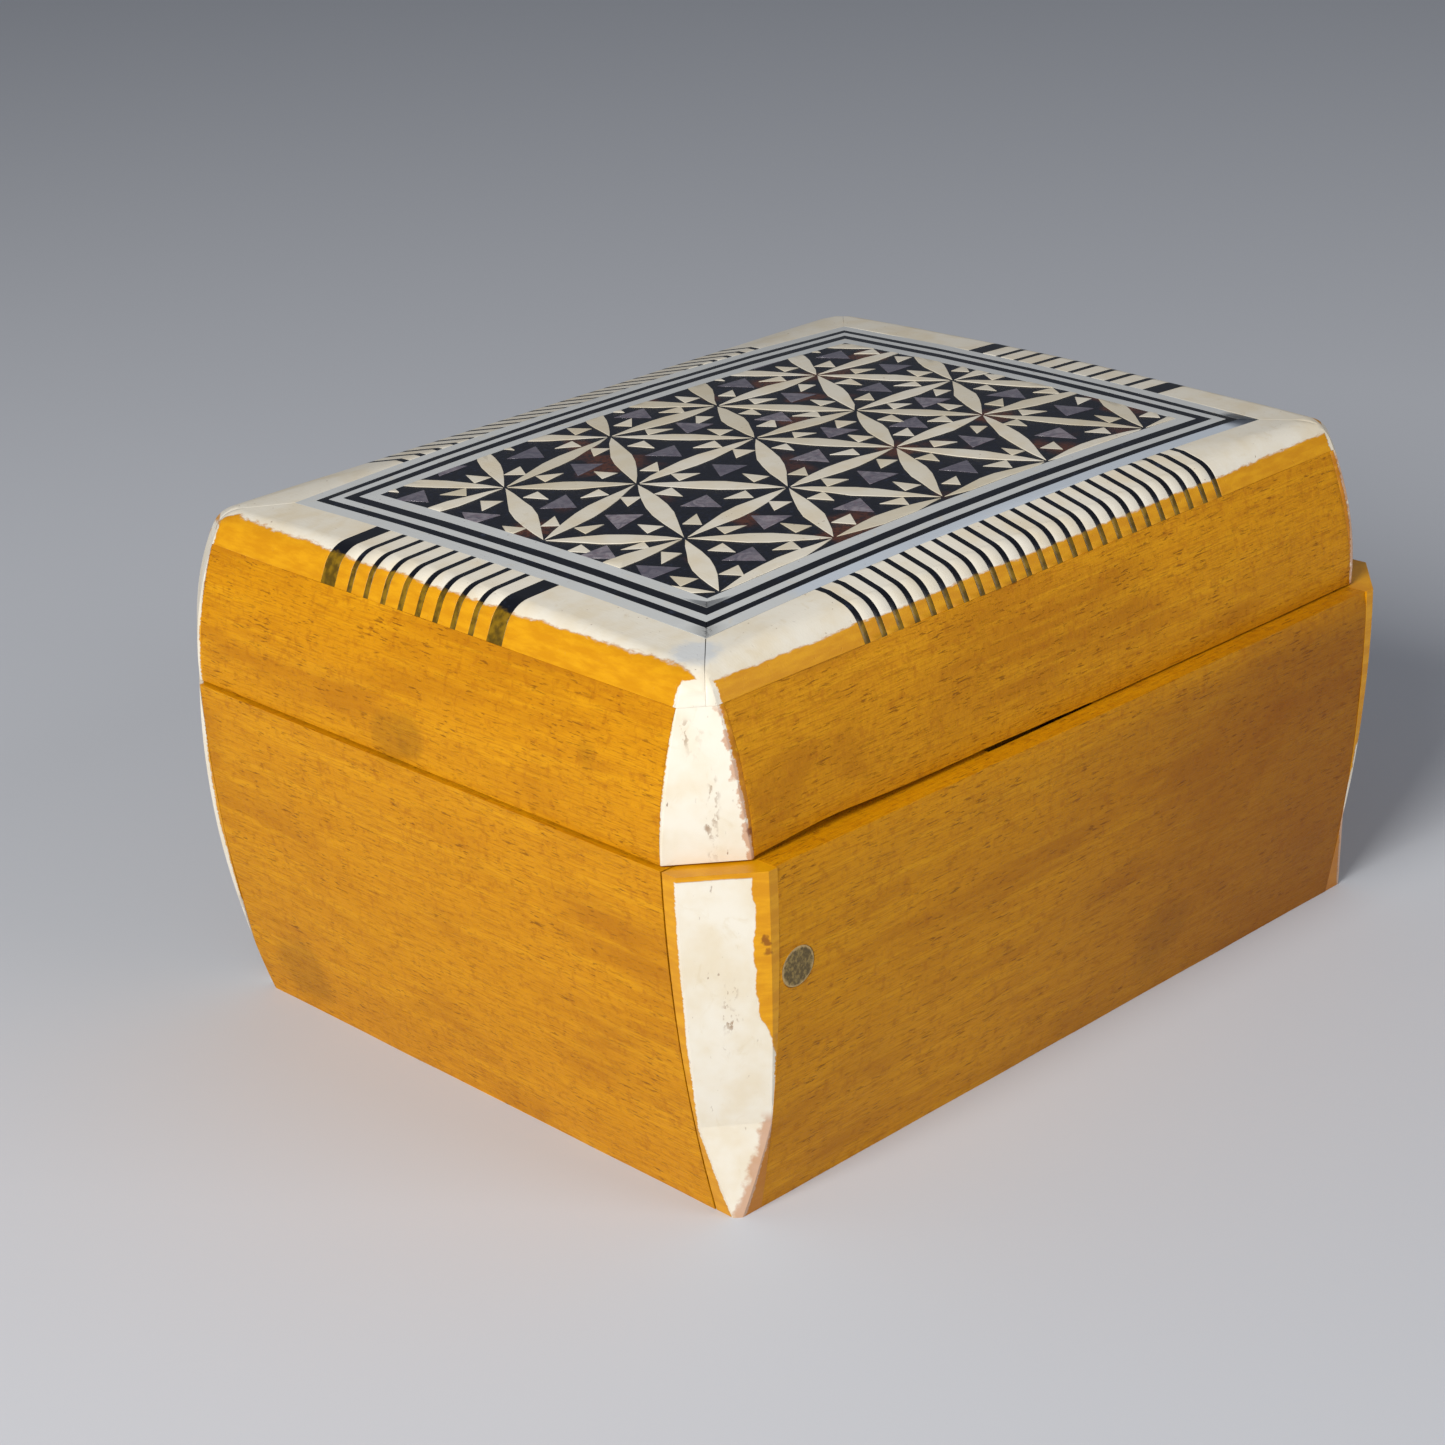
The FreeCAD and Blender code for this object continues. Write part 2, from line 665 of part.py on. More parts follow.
def across(border, side, low_x, high_x):
    """The part of one side's border between two planes across it."""
    outline = [(low_x, -PAST), (high_x, -PAST), (high_x, 1 - size("mosaic_half_width")),
               (low_x, 1 - size("mosaic_half_width"))]
    return plate(turned(outline, side), 0, high).common(border)


def slip_edges(side):
    """Where each black slip of one side starts and ends: even on the long sides, framed on the short."""
    edges = []
    if side in LONG_SIDES:
        place = size("slip_start_long")
        while place < -size("slip_start_long"):
            edges.append((place, place + size("slip_black")))
            place += size("slip_pitch_long")
        return edges
    place = size("slip_start_short")
    edges.append((place, place + size("slip_thick")))
    place += size("slip_thick") + size("slip_margin")
    for _ in range(THIN_SLIPS):
        edges.append((place, place + size("slip_black")))
        place += size("slip_pitch_short")
    place += size("slip_black") + size("slip_margin") - size("slip_pitch_short")
    edges.append((place, place + size("slip_thick")))
    return edges


for side in SIDES:
    border = ring_piece(side, half_x, half_y, BORDER_REACH, size("rail_top"))
    edges = slip_edges(side)
    shape_node(f"slips_black_{side}", flatten([across(border, side, *edge) for edge in edges]))
    gaps = [(one[1], two[0]) for one, two in zip(edges, edges[1:])]
    shape_node(f"slips_white_{side}", flatten([across(border, side, *gap) for gap in gaps]))
    near_end = across(border, side, -PAST, edges[0][0])
    if side in LONG_SIDES:
        far_end = across(border, side, -PAST, -edges[-1][1]).mirror(Vector(), Vector(1, 0, 0))
    else:
        far_end = across(border, side, edges[-1][1], PAST)
    shape_node(f"border_{side}", flatten([near_end, far_end]))

# star mosaic: petals on every edge of a triangular net, a pearl triangle in each cell
pitch = size("star_pitch")
row = pitch * math.sqrt(3) / 2
seat = size("mosaic_seat")
window_x = size("mosaic_half_length")
window_y = size("mosaic_half_width")
frame = [(-window_x, -window_y), (window_x, -window_y), (window_x, window_y), (-window_x, window_y)]
field = plate(frame, seat, high).common(lid_solid)


def star(i, j):
    return Vector(size("star_origin_x") + pitch * (i + j / 2), size("star_origin_y") + row * j, 0)


def inlay(points):
    """A small piece of the mosaic, cropped by the frame."""
    return plate([(point.x, point.y) for point in points], seat, high).common(field)


def petal(start, end):
    way = (end - start).normalize()
    side = Vector(-way.y, way.x, 0) * size("petal_half_width")
    middle = (start + end) * 0.5
    tip = way * size("petal_tip_gap")
    return inlay([start + tip, middle - side, end - tip, middle + side])


def cell(corners):
    """White triangles near the stars and a pearl triangle between the petals' middles."""
    centre = (corners[0] + corners[1] + corners[2]) * (1 / 3)
    whites = []
    pearl = []
    for corner in corners:
        way = (centre - corner).normalize()
        side = Vector(-way.y, way.x, 0)
        foot = corner + way * size("triangle_start")
        half = side * size("triangle_half_width")
        whites.append(inlay([foot + half, foot - half, corner + way * size("triangle_end")]))
        pearl.append(centre + way * size("pearl_reach"))
    return whites, inlay(pearl)


petals = []
small = []
pearls = []
for j in range(-1, 4):
    for i in range(-5, 6):
        here = star(i, j)
        right = star(i + 1, j)
        up = star(i, j + 1)
        down = star(i + 1, j - 1)
        for other in (right, up, star(i - 1, j + 1)):
            petals.append(petal(here, other))
        for third in (up, down):
            whites, pearl = cell([here, right, third])
            small += whites
            pearls.append(pearl)


SPLINTER = 0.25


def worth_keeping(pieces):
    """Whole solids, without the splinters that the frame's edge leaves."""
    return [solid for solid in flatten(pieces) if solid.Volume > SPLINTER]


petals = worth_keeping(petals)
small = worth_keeping(small)
pearls = worth_keeping(pearls)
shape_node("mosaic_petals", petals)
shape_node("mosaic_triangles", small)
shape_node("mosaic_pearl", pearls)
bed = plate(frame, size("mosaic_bed"), high).common(lid_solid)
shape_node("mosaic_mastic", bed.cut(Part.makeCompound(petals + small + pearls)).Solids)

# ---------------------------------------------------------------- checks and export
doc.recompute()
for obj in doc.Objects:
    if "Invalid" in obj.State or "Error" in obj.State:
        raise RuntimeError(f"{obj.Label} failed: {obj.State}")
os.makedirs("parts", exist_ok=True)
for obj in nodes:
    shape = obj.Shape
    if shape.isNull() or not shape.isValid() or not shape.Solids:
        raise RuntimeError(f"{obj.Label} has no valid solid")
    print(f"{obj.Label:26s} solids {len(shape.Solids):3d}  volume {shape.Volume:9.1f} mm3")
    shape.exportStep(f"parts/{obj.Label}.step")
print("nodes:", len(nodes))
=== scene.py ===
# %% [markdown]
# # An inlaid trick box
# A small beech box with bulging sides, stained yellow, with a lid inlaid in bone, black slips and
# pearl. The frame file gives every part its place. This script makes each visible part again with
# softer edges and hand work on its surfaces, gives it a finish of wood, bone, mastic, brass or velvet,
# and lights it.

# %% Load the frame
import json
import math
import random

import bmesh
import bpy
from mathutils import Matrix, Vector, noise


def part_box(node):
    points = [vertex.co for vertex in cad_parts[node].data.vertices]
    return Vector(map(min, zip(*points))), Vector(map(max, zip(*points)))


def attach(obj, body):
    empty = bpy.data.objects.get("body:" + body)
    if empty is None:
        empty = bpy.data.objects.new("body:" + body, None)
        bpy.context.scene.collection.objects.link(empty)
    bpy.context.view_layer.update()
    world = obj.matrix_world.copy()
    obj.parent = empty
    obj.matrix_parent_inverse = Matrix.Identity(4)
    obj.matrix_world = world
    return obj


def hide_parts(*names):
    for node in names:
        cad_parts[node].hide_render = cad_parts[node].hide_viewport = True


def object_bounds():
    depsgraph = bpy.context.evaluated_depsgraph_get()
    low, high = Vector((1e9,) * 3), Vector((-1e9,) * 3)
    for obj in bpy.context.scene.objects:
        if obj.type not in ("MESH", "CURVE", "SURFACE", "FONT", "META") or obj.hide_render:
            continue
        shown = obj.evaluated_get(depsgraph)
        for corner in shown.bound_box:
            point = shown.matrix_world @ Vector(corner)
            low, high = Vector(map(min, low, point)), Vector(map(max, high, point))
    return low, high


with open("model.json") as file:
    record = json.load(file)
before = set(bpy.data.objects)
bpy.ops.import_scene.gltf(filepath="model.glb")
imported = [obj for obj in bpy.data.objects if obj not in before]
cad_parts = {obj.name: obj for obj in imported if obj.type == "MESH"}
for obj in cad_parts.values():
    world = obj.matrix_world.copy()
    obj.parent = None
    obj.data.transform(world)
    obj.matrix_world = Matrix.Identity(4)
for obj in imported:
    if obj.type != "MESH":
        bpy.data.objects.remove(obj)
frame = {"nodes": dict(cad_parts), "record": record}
cad_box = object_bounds()
nodes = frame["nodes"]
body_of_node = {name: body for body, names in frame["record"]["behaviour"]["bodies"].items()
                for name in names}
MM = 0.001
print("nodes in the frame:", len(nodes))

# %% [markdown]
# The camera stands low in front of the near left corner, turned so that the corner's bone strip faces
# it. A camera looks along its own -Z, so its matrix is built from three directions: right, up and back.
# A small roll tips the picture, as a camera held by hand does.

# %% Camera
CAMERA_PLACE = Vector((-0.2003, -0.2043, 0.1426))
CAMERA_YAW = math.radians(47.0)
CAMERA_PITCH = math.radians(22.7)
CAMERA_ROLL = math.radians(-3.0)
CAMERA_LENS = 78.9

ahead = Vector((math.cos(CAMERA_YAW), math.sin(CAMERA_YAW), 0)) * math.cos(CAMERA_PITCH)
ahead.z = -math.sin(CAMERA_PITCH)
level_right = Vector((math.sin(CAMERA_YAW), -math.cos(CAMERA_YAW), 0))
level_up = level_right.cross(ahead)
right = level_right * math.cos(CAMERA_ROLL) + level_up * math.sin(CAMERA_ROLL)
up = level_up * math.cos(CAMERA_ROLL) - level_right * math.sin(CAMERA_ROLL)
camera_data = bpy.data.cameras.new("camera")
camera_data.lens = CAMERA_LENS
camera_data.sensor_width = 36
camera_data.clip_start = 0.01
camera = bpy.data.objects.new("camera", camera_data)
camera.matrix_world = Matrix.Translation(CAMERA_PLACE) @ Matrix((right, up, -ahead)).transposed().to_4x4()
bpy.context.scene.collection.objects.link(camera)
bpy.context.scene.camera = camera
bpy.context.scene.view_settings.view_transform = "Standard"
print("camera looks along", [round(value, 2) for value in ahead])

# %% [markdown]
# A shader is a web of nodes. Written one node at a time it is long, so a small class wraps a node's
# output, and Python's own operators on it add the Math nodes. Every other node is made by one method,
# which first sets the node's options and then fills its sockets with numbers or links.

# %% Shader helpers
class Value:
    """A number that changes over a surface."""

    def __init__(self, finish, socket):
        self.finish = finish
        self.socket = socket

    def __add__(self, other):
        return self.finish.math("ADD", self, other)

    def __sub__(self, other):
        return self.finish.math("SUBTRACT", self, other)

    def __rsub__(self, other):
        return self.finish.math("SUBTRACT", other, self)

    def __mul__(self, other):
        return self.finish.math("MULTIPLY", self, other)

    def __abs__(self):
        return self.finish.math("ABSOLUTE", self)

    __radd__ = __add__
    __rmul__ = __mul__

    def most(self, other):
        return self.finish.math("MAXIMUM", self, other)

    def step(self, low, high):
        """0 below low, 1 above high and a soft step between."""
        made = self.finish.node(
            "ShaderNodeMapRange", {"interpolation_type": "SMOOTHSTEP"},
            {"Value": self, "From Min": low, "From Max": high})
        return Value(self.finish, made.outputs["Result"])


class Finish:
    """One material: its nodes are made here, in millimetres of the box."""

    def __init__(self, name):
        self.material = bpy.data.materials.new(name)
        self.material.use_nodes = True
        self.tree = self.material.node_tree
        self.tree.nodes.clear()
        place = self.node("ShaderNodeTexCoord").outputs["Object"]
        scaled = self.node("ShaderNodeVectorMath", {"operation": "SCALE"}, {0: place, "Scale": 1 / MM})
        self.place = scaled.outputs[0]
        split = self.node("ShaderNodeSeparateXYZ", {}, {0: self.place})
        self.x, self.y, self.z = (Value(self, split.outputs[index]) for index in range(3))

    def node(self, kind, settings=None, sockets=None):
        made = self.tree.nodes.new(kind)
        for key, value in (settings or {}).items():
            setattr(made, key, value)
        for key, value in (sockets or {}).items():
            if isinstance(value, Value):
                value = value.socket
            if isinstance(value, bpy.types.NodeSocket):
                self.tree.links.new(value, made.inputs[key])
            else:
                made.inputs[key].default_value = value
        return made

    def math(self, operation, *values):
        made = self.node("ShaderNodeMath", {"operation": operation}, dict(enumerate(values)))
        return Value(self, made.outputs[0])

    def noise(self, scale, detail=3.0, roughness=0.5, distortion=0.0, shift=0.0):
        """Noise from 0 to 1; scale is per millimetre, one number or one along each axis."""
        if not hasattr(scale, "__len__"):
            scale = (scale, scale, scale)
        moved = self.node("ShaderNodeVectorMath", {"operation": "MULTIPLY_ADD"},
                          {0: self.place, 1: scale, 2: (shift, shift * 0.7, shift * 1.3)})
        made = self.node("ShaderNodeTexNoise", {}, {
            "Vector": moved.outputs[0], "Scale": 1.0, "Detail": detail, "Roughness": roughness,
            "Distortion": distortion})
        return Value(self, made.outputs["Fac"])

    def mix(self, one, two, factor):
        """Colour one turning into colour two as factor goes from 0 to 1."""
        made = self.node("ShaderNodeMix", {"data_type": "RGBA", "clamp_factor": True},
                         {0: factor, 6: one, 7: two})
        return made.outputs[2]

    def attribute(self, name):
        """A number that is stored on the faces of the mesh."""
        made = self.node("ShaderNodeAttribute", {"attribute_name": name})
        return Value(self, made.outputs["Fac"])

    def spot(self, x, y, z, radius, ragged=0.35, scale=0.7):
        """1 inside a ragged blot about a point, 0 outside."""
        off = self.node("ShaderNodeVectorMath", {"operation": "DISTANCE"}, {0: self.place, 1: (x, y, z)})
        reach = Value(self, off.outputs["Value"]) + (self.noise(scale, 3) - 0.5) * (radius * ragged * 4)
        return 1 - reach.step(radius * 0.6, radius * 1.25)

    def close(self, colour, roughness, height=None, depth=0.02, **shader):
        """Finish with a Principled shader; height is in millimetres times depth."""
        sockets = {"Base Color": colour, "Roughness": roughness}
        if height is not None:
            bump = self.node("ShaderNodeBump", {}, {
                "Height": height, "Strength": 1.0, "Distance": depth * MM})
            sockets["Normal"] = bump.outputs["Normal"]
        principled = self.node("ShaderNodeBsdfPrincipled", {}, {**sockets, **shader})
        self.node("ShaderNodeOutputMaterial", {}, {"Surface": principled.outputs[0]})
        return self.material


def paint(red, green, blue):
    """A screen colour, 0 to 255, as the linear colour that a shader takes."""
    return tuple((value / 255) ** 2.2 for value in (red, green, blue)) + (1.0,)


print("shader helpers are ready")

# %% [markdown]
# The stain was brushed on after the bone was let in, so it laps over every bone edge. Where it stops is
# a matter of place: on a corner strip the corner face stays bare, and on the lid's rim the stain ends
# part way up the rounding. Each rule is a distance in millimetres, made ragged with noise that is drawn
# out level, like brush hairs.
#
# A corner face is a shallow bow that looks out along one direction in plan. How deep a point lies under
# that bow is the reach of the bow at its height less how far out the point is: 0 on the face and more
# on the stained sides. Beside the near strip a band of yellow filler covers the joint with the front
# panel.

# %% Where the bone is bare
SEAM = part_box("lid_front_rail")[0].z / MM
BASE_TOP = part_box("front_panel")[1].z / MM
SIDE_STAIN = 49.0    # where the stain ends on the ends of the lid
FRONT_STAIN = 48.05  # where it ends on the front and the back
NEAR_TURN = math.radians(49.5)
FAR_TURN = math.radians(35.0)
# Each corner face: the way it looks, its reach, the height and radius of its bow, and the reach at its foot.
FACES = {
    "lid_near": (NEAR_TURN, 54.05, 36.0, 30.0, 0),
    "lid_far": (FAR_TURN, 56.7, 34.0, 31.5, 0),
    "base_near": (NEAR_TURN, 55.95, 33.3, 137.0, 53.77),
    "base_far": (FAR_TURN, 57.1, 26.0, 84.0, 0),
}


def brush(finish):
    """Ragged offset of a stain edge, in millimetres."""
    hairs = finish.noise((1.1, 1.1, 4.5), 4, 0.6)
    sweep = finish.noise(0.28, 2)
    return (hairs - 0.5) * 1.3 + (sweep - 0.5) * 1.1


def depth_under(finish, face):
    """How deep a point lies under one of the bowed corner faces, in millimetres."""
    turn, reach, height, radius, foot = FACES[face]
    rise = finish.z - height
    bow = (reach - rise * rise * (0.5 / radius)).most(foot)
    return bow - abs(finish.x) * math.cos(turn) - abs(finish.y) * math.sin(turn)


def bare_corner(face, spill=0.16):
    """1 on a flat corner face, 0 where the stain covers; ragged along its edges."""
    def mask(finish):
        return 1 - (depth_under(finish, face) + brush(finish) * 0.3).step(spill, spill + 0.1)
    return mask


def bare_lid_rim(finish):
    """1 on the top of the lid and on its corner faces, 0 below the stain's edge."""
    ragged = brush(finish)
    beside = (abs(finish.x) - abs(finish.y) - 10.5).step(-1.0, 1.0)
    line = beside * (SIDE_STAIN - FRONT_STAIN) + FRONT_STAIN
    above = (finish.z - line + ragged * 0.4).step(-0.1, 0.12)
    near = bare_corner("lid_near", 0.35)(finish) * (finish.y * -1).step(0, 1)
    far = bare_corner("lid_far")(finish) * finish.y.step(0, 1)
    return above.most(near).most(far)


STRIP_SIDE = 6.54     # from the middle of a near strip of the base to its front side, at the top
STRIP_LEAN = 0.00065  # that side drifts by this much for each square millimetre of drop
FILLER_WIDTH = 1.3
FILLER_END = 15.0     # the filler thins out about this far below the base's top
FILLER_LOSS = 1.7


def beside_near(finish):
    """How far a point lies to the side of the middle of a near corner face, in millimetres."""
    return abs(finish.x) * math.sin(NEAR_TURN) - abs(finish.y) * math.cos(NEAR_TURN)


def filler_band(finish):
    """1 on the yellow filler that runs down the front side of a near corner strip of the base."""
    drop = BASE_TOP - finish.z
    inward = beside_near(finish) - STRIP_SIDE - drop * drop * STRIP_LEAN
    wavy = (finish.noise((0.3, 0.3, 0.5), 3, 0.6) - 0.5) * 1.1
    width = FILLER_WIDTH - (drop - FILLER_END).step(-4.0, 4.0) * FILLER_LOSS
    return (width - inward + wavy).step(-0.06, 0.08)


def near_base_strip(finish):
    """1 on a near corner face of the base, less its stained top edge and the filler beside it."""
    below_top = (BASE_TOP - 0.45 - finish.z + brush(finish) * 0.15).step(-0.06, 0.08)
    return bare_corner("base_near")(finish) * below_top * (1 - filler_band(finish))


print("the seam is at", round(SEAM, 2), "mm and the base's top at", round(BASE_TOP, 2), "mm")

# %% [markdown]
# Beech shows short dark flecks along its grain, fine fibres, and wide clouds where the stain sank in.
# Each is a noise drawn out along the grain. The same finish serves boards whose grain runs along X and
# along Y. The varnish ran darker in a few blots, and the front of the base is painted darker toward its
# right end as painted shade, where less light reaches it.

# %% Stained beech
OCHRE = paint(200, 134, 8)
PALE_OCHRE = paint(216, 152, 18)
DEEP_OCHRE = paint(176, 112, 4)
FLECK = paint(104, 58, 6)
BROWN_STAIN = paint(112, 72, 14)
CLOUD_STAIN = paint(158, 92, 6)
# Painted shade: a darker ochre for the right end of the base's front.
PAINTED_SHADE_OCHRE = paint(120, 62, 4)


def beech(name, along, blots=()):
    """Stained wood; each blot is a place, a radius and a strength where the varnish ran darker."""
    finish = Finish(name)
    drawn = {"x": lambda length, width: (1 / length, 1 / width, 1 / width),
             "y": lambda length, width: (1 / width, 1 / length, 1 / width)}[along]
    cloud = finish.noise(drawn(26.0, 9.0), 4, 0.6, 0.6)
    fibre = finish.noise(drawn(3.2, 0.13), 3, 0.65, 0.2)
    streak = finish.noise(drawn(20.0, 1.1), 3, 0.55, 0.5)
    fleck = finish.noise(drawn(1.3, 0.16), 2, 0.45, 0.3, shift=11.0).step(0.6, 0.7)
    sparse = finish.noise(0.3, 2, shift=4.0).step(0.4, 0.66)
    colour = finish.mix(DEEP_OCHRE, OCHRE, cloud.step(0.3, 0.55))
    colour = finish.mix(colour, PALE_OCHRE, streak.step(0.45, 0.72) * 0.55)
    colour = finish.mix(colour, DEEP_OCHRE, fibre.step(0.45, 0.66) * 0.75)
    patch = finish.noise(1.1, 4, 0.65, shift=29.0).step(0.5, 0.7)
    colour = finish.mix(colour, CLOUD_STAIN, patch * 0.45)
    colour = finish.mix(colour, FLECK, fleck * sparse * 0.65)
    dust = finish.noise(3.2, 3, 0.7, shift=17.0).step(0.66, 0.74)
    colour = finish.mix(colour, FLECK, dust * 0.3)
    for (x, y, z), radius, strength in blots:
        colour = finish.mix(colour, BROWN_STAIN, finish.spot(x, y, z, radius, 0.3, 0.3) * strength)
    # Painted shade: boards with grain along X are painted darker below the seam toward their right end.
    if along == "x":
        toward_right = (finish.x + (finish.noise(0.1, 2) - 0.5) * 20).step(-26.0, 38.0)
        below_seam = (SEAM - finish.z).step(-2.0, 4.0)
        colour = finish.mix(colour, PAINTED_SHADE_OCHRE, toward_right * below_seam * 0.6)
    height = fibre * 0.5 + streak * 0.3 + finish.noise(1.3, 4, 0.6) * 1.1 - fleck * 0.5
    gloss = 0.42 + fibre * 0.16
    return finish.close(colour, gloss, height, 0.07, **{
        "Coat Weight": 0.05, "Coat Roughness": 0.3, "Specular IOR Level": 0.16})


beech_long = beech("stained_beech_long", "x", [((12.0, -37.0, 6.0), 4.0, 0.25)])
beech_short = beech("stained_beech_short", "y", [
    ((-46.0, 1.0, 36.2), 2.0, 0.34), ((-46.0, 4.0, 35.0), 2.4, 0.3), ((-44.0, 24.0, 5.0), 4.0, 0.3),
    ((-45.0, -22.0, 40.5), 1.4, 0.25)])
print("beech finishes:", beech_long.name, beech_short.name)

# %% [markdown]
# Bone is cream, with small dark pores and faint yellow streaks, and polishes to a soft gloss. One
# function makes all the bone finishes. It takes a rule for where the bone is bare, and lays the stain
# over the rest. The front strips add their own marks: rows of brown pores, a speck or two of dirt, and
# a ragged brown line along the edge beside the front boards.

# %% Bone
CREAM = paint(226, 219, 203)
IVORY = paint(219, 206, 180)
COOL_BONE = paint(194, 196, 195)
DULL_BONE = paint(188, 176, 148)
YELLOW_STREAK = paint(205, 186, 148)
PORE = paint(120, 84, 60)
BROWN_PORE = paint(128, 88, 46)
STAIN_EDGE = paint(150, 78, 14)
DIRT = paint(118, 62, 18)
BROWN_EDGE = paint(172, 98, 22)


def front_edge(finish, reach, level, spread, top, width):
    """1 along the edge of a corner face beside the front boards, below the height top."""
    rise = finish.z - level
    ragged = (finish.noise(0.9, 3, 0.6) - 0.5) * 1.3
    under = reach - rise * rise * (1 / spread) - abs(finish.y) + ragged
    return (1 - under.step(width * 0.4, width)) * (top - finish.z).step(0, 1.5)


def bone(name, bare=None, body=CREAM, second=IVORY, tone=False, extra=None, dirt=(), brown=None):
    """Bone; bare and extra are functions, dirt is a list of spots and brown places a brown edge."""
    finish = Finish(name)
    cloud = finish.noise(0.22, 3, 0.6)
    colour = finish.mix(body, second, cloud.step(0.35, 0.75))
    streak = finish.noise((0.5, 0.5, 0.35), 4, 0.65, 1.2, shift=3.0)
    colour = finish.mix(colour, YELLOW_STREAK, streak.step(0.56, 0.8) * 0.4)
    pores = finish.noise((2.6, 2.6, 1.1), 2, 0.5, shift=7.0).step(0.7, 0.76)
    gather = finish.noise(0.33, 2, shift=9.0).step(0.42, 0.66)
    colour = finish.mix(colour, PORE, pores * gather * 0.75)
    if tone:
        colour = finish.mix(colour, DULL_BONE, finish.attribute("tone") * 0.6)
    if extra:
        colour = extra(finish, colour)
    scratch = finish.noise((6.0, 1.2, 6.0), 2, 0.5)
    height = scratch * 0.4 + cloud * 0.5 - pores * 0.5
    gloss = 0.28 + scratch * 0.2
    if bare:
        mask = bare(finish)
        laid = finish.mix(OCHRE, PALE_OCHRE, finish.noise((0.3, 0.3, 1.4), 4, 0.6).step(0.35, 0.7))
        laid = finish.mix(laid, STAIN_EDGE, mask.step(0.02, 0.5) * 0.5)
        colour = finish.mix(laid, colour, mask)
        height = height + (1 - mask) * 0.9
    if brown:
        colour = finish.mix(colour, BROWN_EDGE, front_edge(finish, **brown) * 0.6)
    for (x, y, z), radius, strength in dirt:
        colour = finish.mix(colour, DIRT, finish.spot(x, y, z, radius, 0.6, 1.6) * strength)
    return finish.close(colour, gloss, height, 0.03, **{
        "Coat Weight": 0.1, "Coat Roughness": 0.15, "Specular IOR Level": 0.3})


def corner_marks(finish, colour):
    """Glue that filled the mitre of the rim at the near corner, and a brown knot below it."""
    glue = finish.spot(-39.2, -28.9, 49.3, 2.0, 0.3)
    colour = finish.mix(colour, paint(186, 196, 208), glue * 0.55)
    return finish.mix(colour, paint(176, 132, 96), finish.spot(-43.0, -33.2, 47.3, 0.75) * 0.6)


def pore_rows(*rows):
    """Brown pores close to some upright lines; each row is x, y, low z, high z and a width."""
    def marks(finish, colour):
        pores = finish.noise((2.4, 2.4, 1.3), 3, 0.6, shift=13.0).step(0.5, 0.6)
        for x, y, low, high, width in rows:
            off = abs(finish.x - x) * math.sin(NEAR_TURN) + abs(finish.y - y) * math.cos(NEAR_TURN)
            inside = (finish.z - low).step(0, 2) * (high - finish.z).step(0, 2)
            near = 1 - (off + (finish.noise(0.5, 2, shift=5.0) - 0.5) * 2.0).step(0.1, width)
            colour = finish.mix(colour, BROWN_PORE, near * inside * pores * 0.75)
        return colour
    return marks


def blue_filler(finish, colour):
    """Pale filler laid over the outer line beside the front slips."""
    along = (finish.x + 26.0 + (finish.noise(0.6, 2) - 0.5) * 3).step(-1.0, 1.5)
    over = (-26.15 - finish.y).step(0, 0.05)
    return finish.mix(colour, paint(184, 196, 212), along * over * 0.55)


bone_rim = bone("bone_rim", bare_lid_rim, extra=corner_marks)
bone_lid_strip = bone(
    "bone_lid_strip", bare_corner("lid_near"),
    extra=pore_rows((-43.0, -33.8, 33.0, 42.0, 0.7), (-44.0, -33.0, 42.0, 47.0, 1.0)),
    dirt=[((-40.9, -35.9, 36.0), 0.35, 0.8)],
    brown={"reach": 36.0, "level": SEAM, "spread": 64.8, "top": 47.0, "width": 0.25})
bone_lid_far_strip = bone("bone_lid_far_strip", bare_corner("lid_far"))
bone_front_strip = bone(
    "bone_front_strip", near_base_strip,
    extra=pore_rows((-44.0, -35.9, 6.0, 24.0, 0.9)),
    dirt=[((-41.6, -38.0, 27.0), 0.45, 0.8), ((-41.5, -38.0, 26.0), 0.4, 0.7)],
    brown={"reach": 38.3, "level": BASE_TOP, "spread": 288.0, "top": 10.5, "width": 0.75})
bone_back_strip = bone("bone_back_strip", bare_corner("base_far", 0.3))
bone_petal = bone("bone_petal", tone=True)
bone_line = bone("bone_line", body=COOL_BONE, second=paint(192, 194, 192), extra=blue_filler)
print("bone finishes are ready")

# %% [markdown]
# The black slips and lines are dyed wood, polished with the rest, so they carry a fine roughness and lose
# some black in patches that are also a painted blue reflection. Mastic is a black putty full of dust, its
# dust partly a painted blue reflection. Pearl is grey shell with faint clouds of pink.

# %% Black slips, mastic and pearl
def black(name, bare=None):
    """Polished black wood; where the rule bare says 0 the stain turns it olive."""
    finish = Finish(name)
    # Patches painted blue-grey: partly worn black, partly a painted reflection.
    wear_and_reflection = finish.noise(0.9, 4, 0.65)
    colour = finish.mix(paint(14, 16, 24), paint(52, 60, 80), wear_and_reflection.step(0.55, 0.82) * 0.6)
    if bare:
        mask = bare(finish)
        olive = finish.mix(paint(86, 66, 8), paint(128, 98, 14),
                           finish.noise(1.2, 3).step(0.35, 0.65))
        colour = finish.mix(olive, colour, mask)
    height = finish.noise(5.0, 3) * 0.5
    return finish.close(colour, 0.24 + wear_and_reflection * 0.2, height, 0.02, **{"Specular IOR Level": 0.4})


black_slip = black("black_slip", bare_lid_rim)
black_line = black("black_line")
WAX_SPOTS = ((-13.6, -20.8), (6.0, -9.0), (19.6, -8.8), (-29.6, 2.4))
WAX_LEVEL = 50.4


